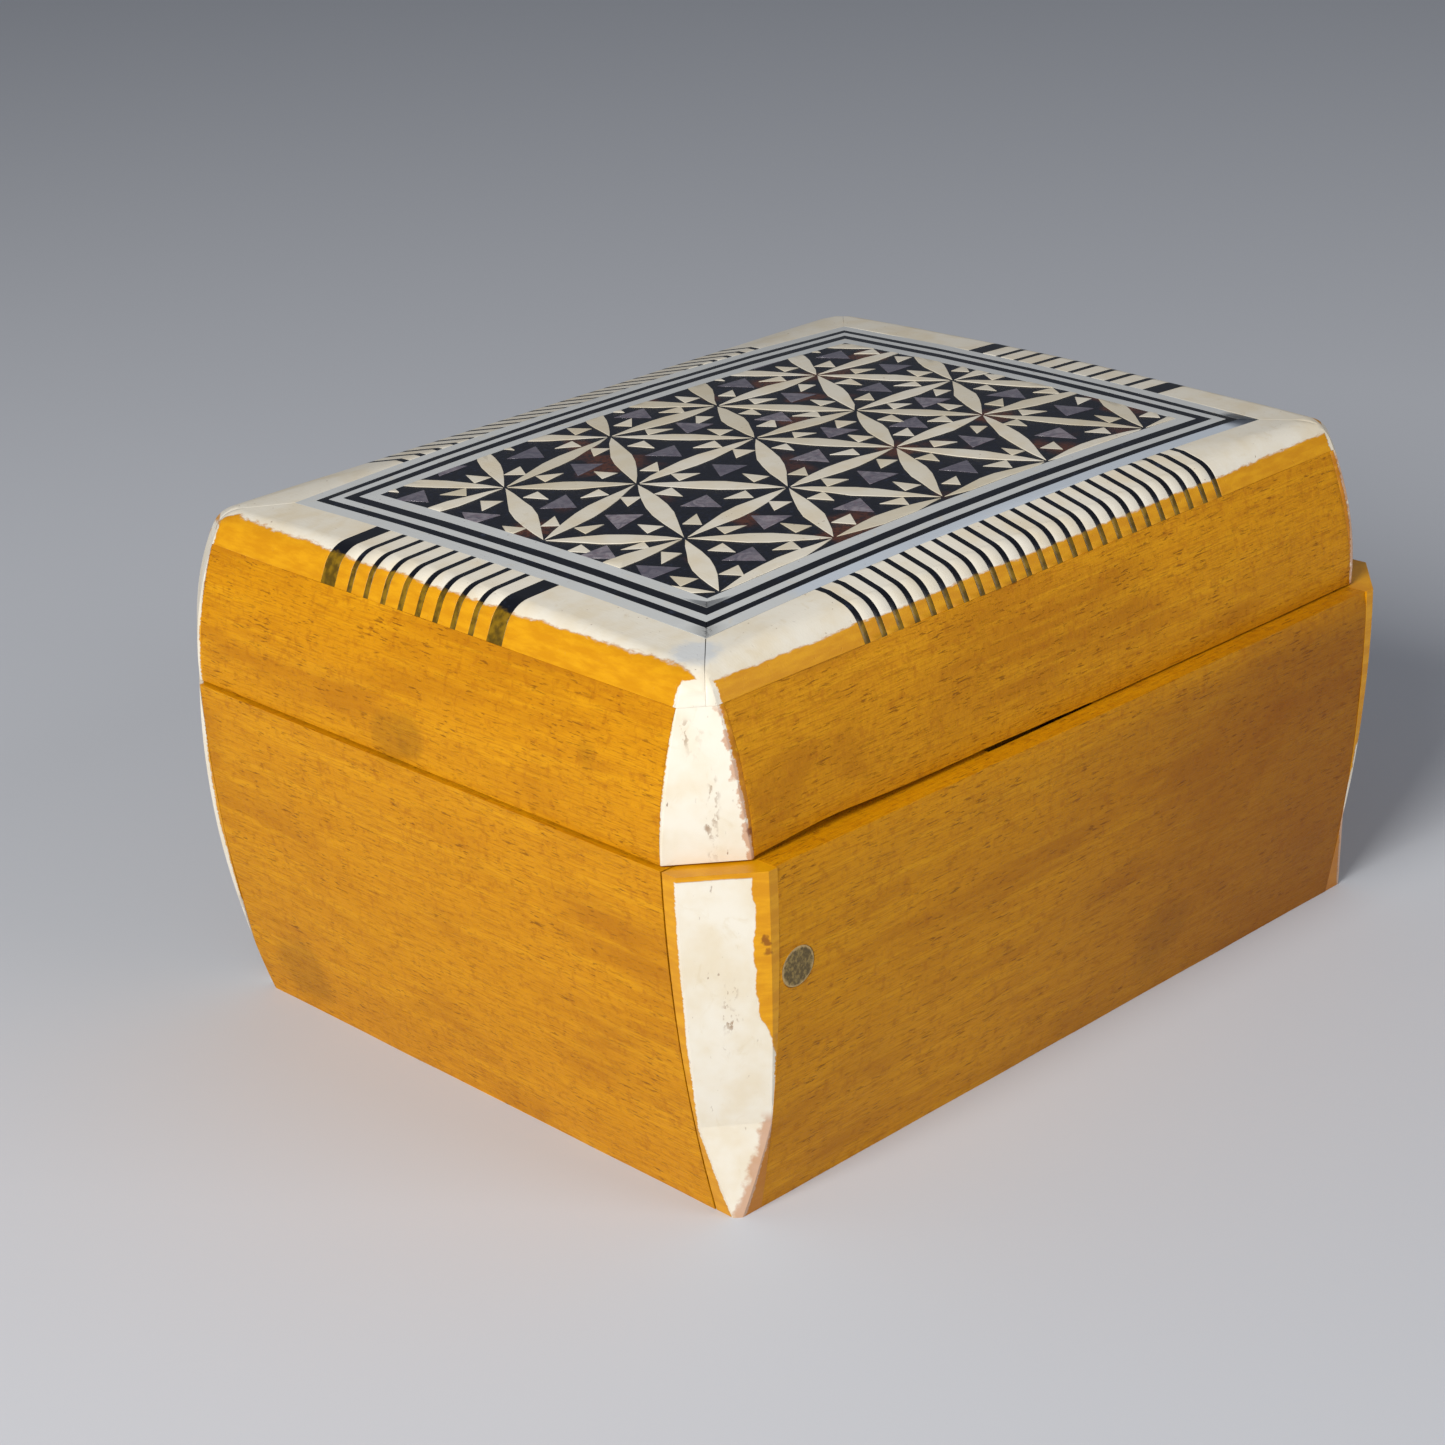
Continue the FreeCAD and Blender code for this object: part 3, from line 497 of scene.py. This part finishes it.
def mastic():
    """Black putty with blue-grey dust in it, partly dust and partly painted reflection, and brown wax left
    in a few places.
    """
    finish = Finish("black_mastic")
    dust = finish.noise(2.4, 5, 0.7)
    # The blue-grey of the dust is partly dust and partly a painted reflection.
    colour = finish.mix(paint(13, 15, 25), paint(58, 66, 92), dust.step(0.5, 0.85) * 0.75)
    wax = finish.noise(0.11, 2, 0.5, shift=31.0).step(0.6, 0.68)
    for x, y in WAX_SPOTS:
        wax = wax.most(finish.spot(x, y, WAX_LEVEL, 2.2, 0.3))
    colour = finish.mix(colour, paint(96, 52, 30), wax * dust.step(0.3, 0.6) * 0.8)
    return finish.close(colour, 0.26 + dust * 0.25, dust * 0.7 + finish.noise(0.7, 2) * 0.6, 0.05)


def pearl():
    """Grey shell; the tone of a piece makes it darker."""
    finish = Finish("grey_pearl")
    cloud = finish.noise(0.8, 3, 0.6, 1.5)
    colour = finish.mix(paint(96, 90, 100), paint(142, 134, 140), cloud.step(0.3, 0.7))
    pink = finish.noise(2.0, 2, shift=5.0).step(0.5, 0.7)
    colour = finish.mix(colour, paint(120, 98, 108), pink * 0.5)
    colour = finish.mix(colour, paint(72, 70, 84), finish.attribute("tone") * 0.7)
    return finish.close(colour, 0.22 + cloud * 0.1, cloud, 0.015, **{
        "Coat Weight": 0.4, "Coat Roughness": 0.08})


black_mastic = mastic()
grey_pearl = pearl()
print("slips, mastic and pearl are ready")

# %% [markdown]
# The pieces that show only when the box is open or slid apart are plain wood, brass and velvet. The
# dowel shows its end grain on the front panel, grey-brown inside a paler ring of glue.

# %% Plain wood, dowel, brass and velvet
dowel_low, dowel_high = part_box("stop_dowel")
DOWEL = Vector((dowel_low.x + dowel_high.x, 2 * dowel_low.y, dowel_low.z + dowel_high.z)) / 2 / MM
GLUE_RING = (1.55, 1.85)  # the ring of glue begins and is full this far from the dowel's middle


def plain_wood():
    """Unstained wood for the parts inside."""
    finish = Finish("plain_wood")
    fibre = finish.noise((0.25, 4.0, 4.0), 4, 0.6, 0.4)
    colour = finish.mix(paint(196, 160, 112), paint(160, 118, 74), fibre.step(0.4, 0.7))
    fleck = finish.noise((0.6, 5.0, 5.0), 2, shift=3.0).step(0.66, 0.74)
    colour = finish.mix(colour, paint(120, 84, 50), fleck * 0.6)
    return finish.close(colour, 0.6 + fibre * 0.15, fibre, 0.05)


def dowel_end():
    """End grain with a ring round it, centred on the dowel's face."""
    finish = Finish("dowel_end_grain")
    pores = finish.noise((3.2, 3.2, 2.4), 4, 0.7)
    colour = finish.mix(paint(88, 72, 36), paint(140, 118, 66), pores.step(0.42, 0.62))
    off = finish.node("ShaderNodeVectorMath", {"operation": "DISTANCE"}, {0: finish.place, 1: tuple(DOWEL)})
    rim = (Value(finish, off.outputs["Value"]) + (pores - 0.5) * 0.5).step(*GLUE_RING)
    colour = finish.mix(colour, paint(196, 166, 112), rim * 0.75)
    return finish.close(colour, 0.55, pores, 0.08)


def brass_metal():
    """Brass with brown tarnish in patches."""
    finish = Finish("aged_brass")
    tarnish = finish.noise(1.1, 4, 0.65)
    colour = finish.mix(paint(214, 176, 92), paint(150, 112, 52), tarnish.step(0.45, 0.75))
    scratch = finish.noise((8.0, 1.5, 8.0), 2)
    return finish.close(colour, 0.24 + tarnish * 0.25, scratch, 0.02, **{"Metallic": 1.0})


def velvet_pile():
    """Short red pile, crushed in places."""
    finish = Finish("red_velvet")
    pile = finish.noise(6.0, 3, 0.7)
    crush = finish.noise(0.14, 3, 0.55, 0.6)
    colour = finish.mix(paint(106, 10, 20), paint(128, 16, 28), crush.step(0.35, 0.7))
    colour = finish.mix(colour, paint(52, 2, 8), pile.step(0.5, 0.75) * 0.6)
    return finish.close(colour, 0.9, pile * 0.8 + crush, 0.12, **{
        "Sheen Weight": 0.7, "Sheen Roughness": 0.35, "Sheen Tint": (0.95, 0.45, 0.45, 1.0)})


raw_wood = plain_wood()
dowel_wood = dowel_end()
brass = brass_metal()
velvet = velvet_pile()
print("the dowel's face is at", [round(value, 1) for value in DOWEL])

# %% [markdown]
# A part from the frame has knife edges and flat faces. The real ones were sanded by hand. So a copy of
# the part's mesh is welded, its flat triangles are dissolved, it is sliced into a net fine enough to
# bend, every sharp edge is bevelled, and a slow noise moves the surface in and out by up to a tenth of
# a millimetre. A Weighted Normal modifier then shades the big faces flat and the bevels round.

# %% Make parts again with soft edges
def welded_copy(name):
    """The mesh of a frame node as a bmesh, without doubled corners and needless edges."""
    bm = bmesh.new()
    bm.from_mesh(nodes[name].data)
    bmesh.ops.remove_doubles(bm, verts=bm.verts, dist=1e-6)
    bmesh.ops.dissolve_limit(bm, angle_limit=math.radians(0.6), verts=bm.verts, edges=bm.edges)
    return bm


def slice_along(bm, axis, spacing):
    """Cut the mesh across one axis at an even spacing, in millimetres."""
    low = min(vert.co[axis] for vert in bm.verts)
    high = max(vert.co[axis] for vert in bm.verts)
    count = max(1, round((high - low) / (spacing * MM)))
    for index in range(1, count):
        cut(bm, on_axis(axis, low + (high - low) * index / count), on_axis(axis, 1), dist=1e-7)


def bevel(bm, edges, offset, segments):
    """Round some edges by an offset, in the units of the mesh."""
    bmesh.ops.bevel(bm, geom=edges, offset=offset, offset_type="OFFSET", segments=segments, profile=0.5,
                    affect="EDGES", clamp_overlap=True, material=-1)


def cut(bm, at, normal, **options):
    """Bisect the whole mesh by a plane."""
    bmesh.ops.bisect_plane(bm, geom=bm.verts[:] + bm.edges[:] + bm.faces[:], plane_co=at, plane_no=normal,
                           **options)


def on_axis(axis, value):
    """A vector with one number along one axis."""
    vector = Vector((0, 0, 0))
    vector[axis] = value
    return vector


def soften(bm, width, segments=2, angle=28):
    """Bevel every edge that is sharper than an angle; width is in millimetres."""
    sharp = [edge for edge in bm.edges
             if len(edge.link_faces) == 2 and edge.calc_face_angle(0) > math.radians(angle)]
    bevel(bm, sharp, width * MM, segments)


def wave(bm, amount, scale, seed, where=None):
    """Move the surface in and out along its normals by a slow noise; amount is in millimetres."""
    bm.normal_update()
    for vert in bm.verts:
        share = 1 if where is None else where(vert)
        if share:
            value = noise.noise(vert.co / MM * scale + Vector((seed, -seed, seed * 2)))
            vert.co += vert.normal * (value * amount * share * MM)


def finish_piece(bm, name, material, body, node, sharp=40):
    """Turn a bmesh into a piece of the box that rides on a body and stands for a frame node."""
    mesh = bpy.data.meshes.new(name)
    bm.to_mesh(mesh)
    bm.free()
    piece = bpy.data.objects.new(name, mesh)
    bpy.context.scene.collection.objects.link(piece)
    mesh.shade_smooth()
    mesh.set_sharp_from_angle(angle=math.radians(sharp))
    mesh.materials.append(material)
    weighted = piece.modifiers.new("even_shading", "WEIGHTED_NORMAL")
    weighted.keep_sharp = True
    weighted.weight = 80
    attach(piece, body)
    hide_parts(node)
    return piece


def remake(name, material, width=0.12, segments=2, slices=(), sway=0.0, where=None, seed=1.0,
           shape=None):
    """A softer copy of one frame node; returns the piece. Width, slices and sway are in millimetres."""
    bm = welded_copy(name)
    for axis, spacing in enumerate(slices):
        if spacing:
            slice_along(bm, axis, spacing)
    if shape:
        shape(bm)
    soften(bm, width, segments)
    if sway:
        wave(bm, sway, 0.11, seed, where)
    return finish_piece(bm, f"{name}_made", material, body_of_node[name], name)


print("remaking helpers are ready")

# %% [markdown]
# The carcass boards bulge, so their curved faces are sliced every two millimetres or so. Only the faces
# that look outwards sway; the faces that slide on each other stay true, and so do those beside the
# hinges. The front panel's top edge was rubbed round, and the lid's front rail is hollow along its
# lower edge, most of all near the left corner, where a dark gap shows.

# %% Carcass boards
HINGE_BAND = 6.0  # nothing sways closer than this to the seam at the back
RUB_DEPTH = 1.6   # how far down the front panel's top edge is rubbed
RUB_REACH = 1.2   # how far in
RUB_LOSS = 0.32   # and how much is gone at the top
HOLLOWS = ((-32, 8, 0.6), (-14, 14, 0.3))  # middle, half length and rise of each hollow in the front rail
HOLLOW_HEIGHT = 3.0


def outward(vert):
    """1 for a point of the mesh that looks out of the box sideways, unless it is by the hinges; else 0."""
    co = vert.co
    if co.y > 0 and abs(co.z / MM - SEAM) < HINGE_BAND:
        return 0.0
    out = vert.normal.x * co.x + vert.normal.y * co.y
    return 1.0 if out > 0.6 * math.hypot(co.x, co.y) else 0.0


def rubbed_top(bm):
    """Wear the outer top edge of the front panel down, more in some places than in others."""
    front = min(vert.co.y for vert in bm.verts)
    for vert in bm.verts:
        deep = (vert.co.z / MM - BASE_TOP + RUB_DEPTH) / RUB_DEPTH
        out = 1 - (vert.co.y - front) / MM / RUB_REACH
        if deep > 0 and out > 0:
            ragged = 0.75 + 0.5 * noise.noise(Vector((vert.co.x / MM * 0.25, 3.0, 0)))
            vert.co.y += RUB_LOSS * deep * deep * min(out, 1) * ragged * MM


def hollow_edge(bm):
    """Lift the lower edge of the lid's front rail a little at its hollows."""
    for vert in bm.verts:
        x = vert.co.x / MM
        low = 1 - min((vert.co.z / MM - SEAM) / HOLLOW_HEIGHT, 1)
        if low > 0 and vert.co.y < 0:
            swell = sum(rise * math.exp(-((x - middle) / half) ** 2) for middle, half, rise in HOLLOWS)
            vert.co.z += (swell + 0.05 * noise.noise(Vector((x * 0.9, 0, 0)))) * low * MM


# Each board: its finish, the slices along X, Y and Z, the seed of its sway, and hand work if any.
BOARDS = {
    "front_panel": (beech_long, (2.2, 0.8, 1.6), 3.1, rubbed_top),
    "back_board": (beech_long, (3.0, 0, 2.4), 7.7, None),
    "end_panel": (beech_short, (0, 2.2, 1.8), 11.3, None),
    "right_end_board": (beech_short, (0, 2.6, 2.2), 13.9, None),
    "lid_front_rail": (beech_long, (1.5, 1.2, 1.5), 17.2, hollow_edge),
    "lid_back_rail": (beech_long, (3.0, 0, 2.0), 19.5, None),
    "lid_left_rail": (beech_short, (0, 2.2, 1.8), 23.8, None),
    "lid_right_rail": (beech_short, (0, 2.6, 2.0), 29.1, None),
}
for name, (finish, slices, seed, shape) in BOARDS.items():
    remake(name, finish, width=0.22, segments=3, slices=slices, sway=0.11, where=outward,
           seed=seed, shape=shape)
for name in ("base_bottom", "inner_left_wall", "inner_front_wall", "front_slide_rail", "end_slide_rail",
             "lock_key", "lid_top_board", "mosaic_backing"):
    remake(name, raw_wood, width=0.15)
remake("stop_dowel", dowel_wood, width=0.12)
print("boards remade")

# %% [markdown]
# The bone corner strips were let in and sanded flush with the wood, so they get the smallest bevels.

# %% Bone corner strips
for place in ("front_left", "front_right", "back_left", "back_right"):
    near = place.startswith("front")
    lower = bone_front_strip if near else bone_back_strip
    upper = bone_lid_strip if near else bone_lid_far_strip
    for name, finish, seed in ((f"base_strip_{place}", lower, 5.0), (f"lid_strip_{place}", upper, 6.0)):
        remake(name, finish, width=0.1, slices=(0, 0, 1.5), sway=0.04, where=outward, seed=seed)
print("strips remade")

# %% [markdown]
# The rim of the lid is bone at the corners and packs of thin slips between. All of it was filed to one
# rounded edge after gluing, so the pieces keep that shared shape and only their joints show, as fine
# grooves.

# %% Rim, slips and lines
for side in ("front", "back", "left", "right"):
    long_side = side in ("front", "back")
    cuts = (3.0, 0, 0) if long_side else (0, 3.0, 0)
    remake(f"border_{side}", bone_rim, width=0.05, slices=cuts, sway=0.05, seed=2.0)
    remake(f"slips_white_{side}", bone_rim, width=0.04, sway=0.05, seed=2.0)
    remake(f"slips_black_{side}", black_slip, width=0.04, sway=0.05, seed=2.0)
remake("stringing_white", bone_line, width=0.03, slices=(4.0, 4.0, 0), seed=2.0)
remake("stringing_black", black_line, width=0.03, slices=(4.0, 4.0, 0), seed=2.0)
print("rim remade")

# %% [markdown]
# The star mosaic is a net of triangles with a star at every crossing. A bone petal lies on every line
# of the net, and each triangle holds a pearl triangle turned the other way, with three small bone
# triangles round it. The maker set the stars by eye, so those near the front left corner stand a
# millimetre or so off the even net. Each outline is drawn with a little jitter, trimmed at the frame
# with bisect cuts, laid on the crowned surface, extruded down and bevelled. A face attribute, tone,
# makes some pieces greyer than others.

# %% Star mosaic
PITCH = 14.1
ROW = PITCH * math.sqrt(3) / 2
ORIGIN = Vector((-22.7, -9.6, 0))
CROWN_RADIUS = 753.0
PETAL_HALF_WIDTH = 1.12
PETAL_STEPS = 7
JITTER = 0.07
EDGE_GAP = 0.02       # between the frame of lines and the pieces cut off beside it
SMALLEST_AREA = 0.35  # a piece with less than this left is not laid
PROUD = 0.03          # the pieces stand this far above the crown
PIECE_DEPTH = 0.7
PIECE_BEVEL = 0.05
# Sizes are drawn from these ranges: small bone triangles from a star, pearl from a triangle's middle.
SMALL_START = (3.4, 3.8)
SMALL_HALF = (0.9, 1.15)
SMALL_LENGTH = (2.2, 2.7)
PEARL_REACH = (2.0, 2.35)
window_low, window_high = (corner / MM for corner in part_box("mosaic_backing"))
BOX_TOP = cad_box[1][2] / MM
random.seed(12)


def surface(x, y):
    """Height of the crowned lid over a point of its plan, in millimetres."""
    return BOX_TOP - CROWN_RADIUS + math.sqrt(CROWN_RADIUS ** 2 - x * x - y * y)


# Where the maker set some stars, by their place in the net.
HAND_SET = {
    (0, 0): (-23.1, -10.7), (1, -1): (-14.8, -20.9), (1, 0): (-8.2, -8.7), (0, 1): (-15.9, 3.3),
    (2, -1): (-1.2, -21.3), (2, 0): (6.3, -8.5), (1, 1): (0.1, 4.0), (0, 2): (-7.7, 16.0),
    (3, 0): (19.4, -7.8), (-1, 1): (-30.9, -0.7), (-1, 2): (-23.6, 13.0),
}


def star(i, j):
    """Centre of a star: where the maker set it, or on the even net if it is far from the near corner."""
    if (i, j) in HAND_SET:
        return Vector((*HAND_SET[i, j], 0))
    return ORIGIN + Vector((PITCH * (i + j / 2), ROW * j, 0))


def new_lower_points(bm):
    """Extrude all faces of a sheet and return the points that stayed behind, to be moved down."""
    grown = bmesh.ops.extrude_face_region(bm, geom=bm.faces[:])
    tops = [item for item in grown["geom"] if isinstance(item, bmesh.types.BMFace)]
    return set(bm.verts) - {vert for face in tops for vert in face.verts}


def lay_on_crown(small):
    """Bend a flat outline to the crown, face it up and extrude it down into the mastic."""
    level = PROUD + random.uniform(-0.015, 0.02)
    for vert in small.verts:
        vert.co.z = surface(vert.co.x, vert.co.y) + level
    if small.faces[:][0].normal.z < 0:
        bmesh.ops.reverse_faces(small, faces=small.faces)
    for vert in new_lower_points(small):
        vert.co.z -= PIECE_DEPTH
    bmesh.ops.recalc_face_normals(small, faces=small.faces)


def add_piece(bm, outline, tone):
    """One inlaid piece with its top on the crowned surface; says how many were laid, 1 or 0."""
    jitter = [point + Vector((random.uniform(-JITTER, JITTER), random.uniform(-JITTER, JITTER), 0))
              for point in outline]
    small = bmesh.new()
    tone_layer = small.faces.layers.float.new("tone")
    corners = [small.verts.new(point) for point in jitter]
    face = small.faces.new(corners)
    face[tone_layer] = tone
    bmesh.ops.poke(small, faces=[face])
    for axis, limits in ((0, (window_low.x, window_high.x)), (1, (window_low.y, window_high.y))):
        for sign, limit in zip((-1, 1), limits):
            cut(small, on_axis(axis, limit - sign * EDGE_GAP), on_axis(axis, sign), clear_outer=True)
    if sum(face.calc_area() for face in small.faces) < SMALLEST_AREA:
        small.free()
        return 0
    lay_on_crown(small)
    rim = [edge for edge in small.edges
           if len(edge.link_faces) == 2 and edge.calc_face_angle(0) > math.radians(60)
           and all(vert.co.z > surface(vert.co.x, vert.co.y) - 0.2 for vert in edge.verts)]
    bevel(small, rim, PIECE_BEVEL, 2)
    bmesh.ops.scale(small, verts=small.verts, vec=(MM, MM, MM))
    scratch = bpy.data.meshes.new("scratch")
    small.to_mesh(scratch)
    small.free()
    bm.from_mesh(scratch)
    bpy.data.meshes.remove(scratch)
    return 1


def petal_outline(start, end):
    """A long lens between two stars, fuller than a rhombus."""
    way = (end - start).normalized()
    side = Vector((-way.y, way.x, 0))
    length = (end - start).length
    width = PETAL_HALF_WIDTH * random.uniform(0.88, 1.08)
    bias = random.uniform(-0.05, 0.05)
    shares = [index / PETAL_STEPS for index in range(1, PETAL_STEPS)]

    def half(share):
        """Half of the width at a share of the length."""
        return width * (1 - abs(2 * share - 1 + bias) ** 1.3)

    first = start + way * 0.25
    last = end - way * 0.25
    over = [start + way * length * share + side * half(share) for share in shares]
    under = [start + way * length * share - side * half(share) for share in reversed(shares)]
    return [first] + under[::-1] + [last] + over[::-1]


def new_inlay():
    """An empty mesh whose faces carry a tone."""
    bm = bmesh.new()
    bm.faces.layers.float.new("tone")
    return bm


petals = new_inlay()
small_bone = new_inlay()
pearls = new_inlay()
counts = [0, 0, 0]
for j in range(-1, 4):
    for i in range(-5, 6):
        here = star(i, j)
        for other in (star(i + 1, j), star(i, j + 1), star(i - 1, j + 1)):
            counts[0] += add_piece(petals, petal_outline(here, other), random.random() ** 2)
        for third in (star(i, j + 1), star(i + 1, j - 1)):
            corners = [here, star(i + 1, j), third]
            centre = sum(corners, Vector()) / 3
            shell = []
            for corner in corners:
                way = (centre - corner).normalized()
                side = Vector((-way.y, way.x, 0))
                near = random.uniform(*SMALL_START)
                half = random.uniform(*SMALL_HALF)
                tip = near + random.uniform(*SMALL_LENGTH)
                outline = [corner + way * near + side * half, corner + way * tip,
                           corner + way * near - side * half]
                counts[1] += add_piece(small_bone, outline, random.random() ** 2)
                shell.append(centre + way * random.uniform(*PEARL_REACH))
            counts[2] += add_piece(pearls, shell, random.random())
for bm, name, finish, slot, node in (
        (petals, "petals", bone_petal, "bone", "mosaic_petals"),
        (small_bone, "small_bone_triangles", bone_petal, "bone", "mosaic_triangles"),
        (pearls, "pearl_triangles", grey_pearl, "grey_pearl", "mosaic_pearl")):
    finish_piece(bm, name, finish, "lid", node, sharp=50)
print("petals, small triangles, pearls:", counts)

# %% [markdown]
# The mastic fills all that is left. It is one sheet that follows the crown just under the pieces' tops:
# a grid, with its rim extruded down.

# %% Mastic bed
BED_DROP = 0.02
bed = bmesh.new()
bmesh.ops.create_grid(bed, x_segments=44, y_segments=32, size=1.0)
reach = (window_high - window_low) / 2
for vert in bed.verts:
    vert.co.x *= reach.x - EDGE_GAP
    vert.co.y *= reach.y - EDGE_GAP
    dip = noise.noise(Vector((vert.co.x * 0.5, vert.co.y * 0.5, 4.0))) * 0.02
    vert.co.z = surface(vert.co.x, vert.co.y) - BED_DROP + dip
for vert in new_lower_points(bed):
    vert.co.z = window_high.z
bmesh.ops.recalc_face_normals(bed, faces=bed.faces)
bmesh.ops.scale(bed, verts=bed.verts, vec=(MM, MM, MM))
finish_piece(bed, "mastic_bed", black_mastic, "lid", "mosaic_mastic")
print("mastic bed laid")

# %% [markdown]
# Two brass butt hinges hold the lid. Their leaves, knuckles, pins and screws come from the frame with
# small bevels.

# %% Hinges and the catch pin
for name in ("base_hinge_leaves", "lid_hinge_leaves", "base_hinge_screws", "lid_hinge_screws", "hinge_pins",
             "lid_catch_pin"):
    remake(name, brass, width=0.05)
print("hinges remade")

# %% [markdown]
# The compartment and the lid are lined with short red velvet, glued on in three pieces with soft rolled
# edges: one on the floor, one band round the walls and one under the lid.

# %% Velvet lining
LININGS = {
    "lining_floor": ((60.6, 79.5), "base_bottom"),
    "lining_walls": ((27.0, 277.0), "inner_front_wall"),
    "lid_lining": ((61.4, 82.4), "lid_top_board"),
}
for name, (flat, support) in LININGS.items():
    piece = remake(name, velvet, width=0.3, segments=3, slices=(3.0, 3.0, 3.0), sway=0.1,
                   seed=4.0)
    print(name, "is cut", flat[0], "by", flat[1], "mm")

# %% [markdown]
# A flat pale floor, one large soft light high on the left, a weak one from the front right and a grey
# sky: enough to show the bulge of the sides, and dark enough above that the black inlay stays black.

# %% Floor and light
floor_bm = bmesh.new()
bmesh.ops.create_grid(floor_bm, x_segments=1, y_segments=1, size=3.0)
floor_mesh = bpy.data.meshes.new("floor")
floor_bm.to_mesh(floor_mesh)
floor_bm.free()
floor = bpy.data.objects.new("floor", floor_mesh)
bpy.context.scene.collection.objects.link(floor)
floor_finish = Finish("pale_floor")
floor_mesh.materials.append(floor_finish.close(paint(196, 199, 205), 0.8))


def soft_light(name, place, size, power, colour):
    """A square light aimed at the box; place and size in metres, power in watts."""
    data = bpy.data.lights.new(name, "AREA")
    data.shape = "SQUARE"
    data.size = size
    data.energy = power
    data.color = colour
    light = bpy.data.objects.new(name, data)
    way = (LIGHT_AIM - Vector(place)).normalized()
    light.matrix_world = Matrix.Translation(place) @ way.to_track_quat("-Z", "Y").to_matrix().to_4x4()
    bpy.context.scene.collection.objects.link(light)


LIGHT_AIM = Vector((0, 0, 0.02))
soft_light("key", (-0.6, -0.16, 0.42), 0.3, 5.9, (1.0, 0.98, 0.95))
soft_light("fill", (0.2, -0.7, 0.35), 0.4, 1.9, (0.98, 0.98, 1.0))
world = bpy.data.worlds.new("studio")
world.use_nodes = True
sky = world.node_tree.nodes["Background"]
sky.inputs["Color"].default_value = paint(178, 184, 196)
sky.inputs["Strength"].default_value = 0.3
bpy.context.scene.world = world
print("lights set")
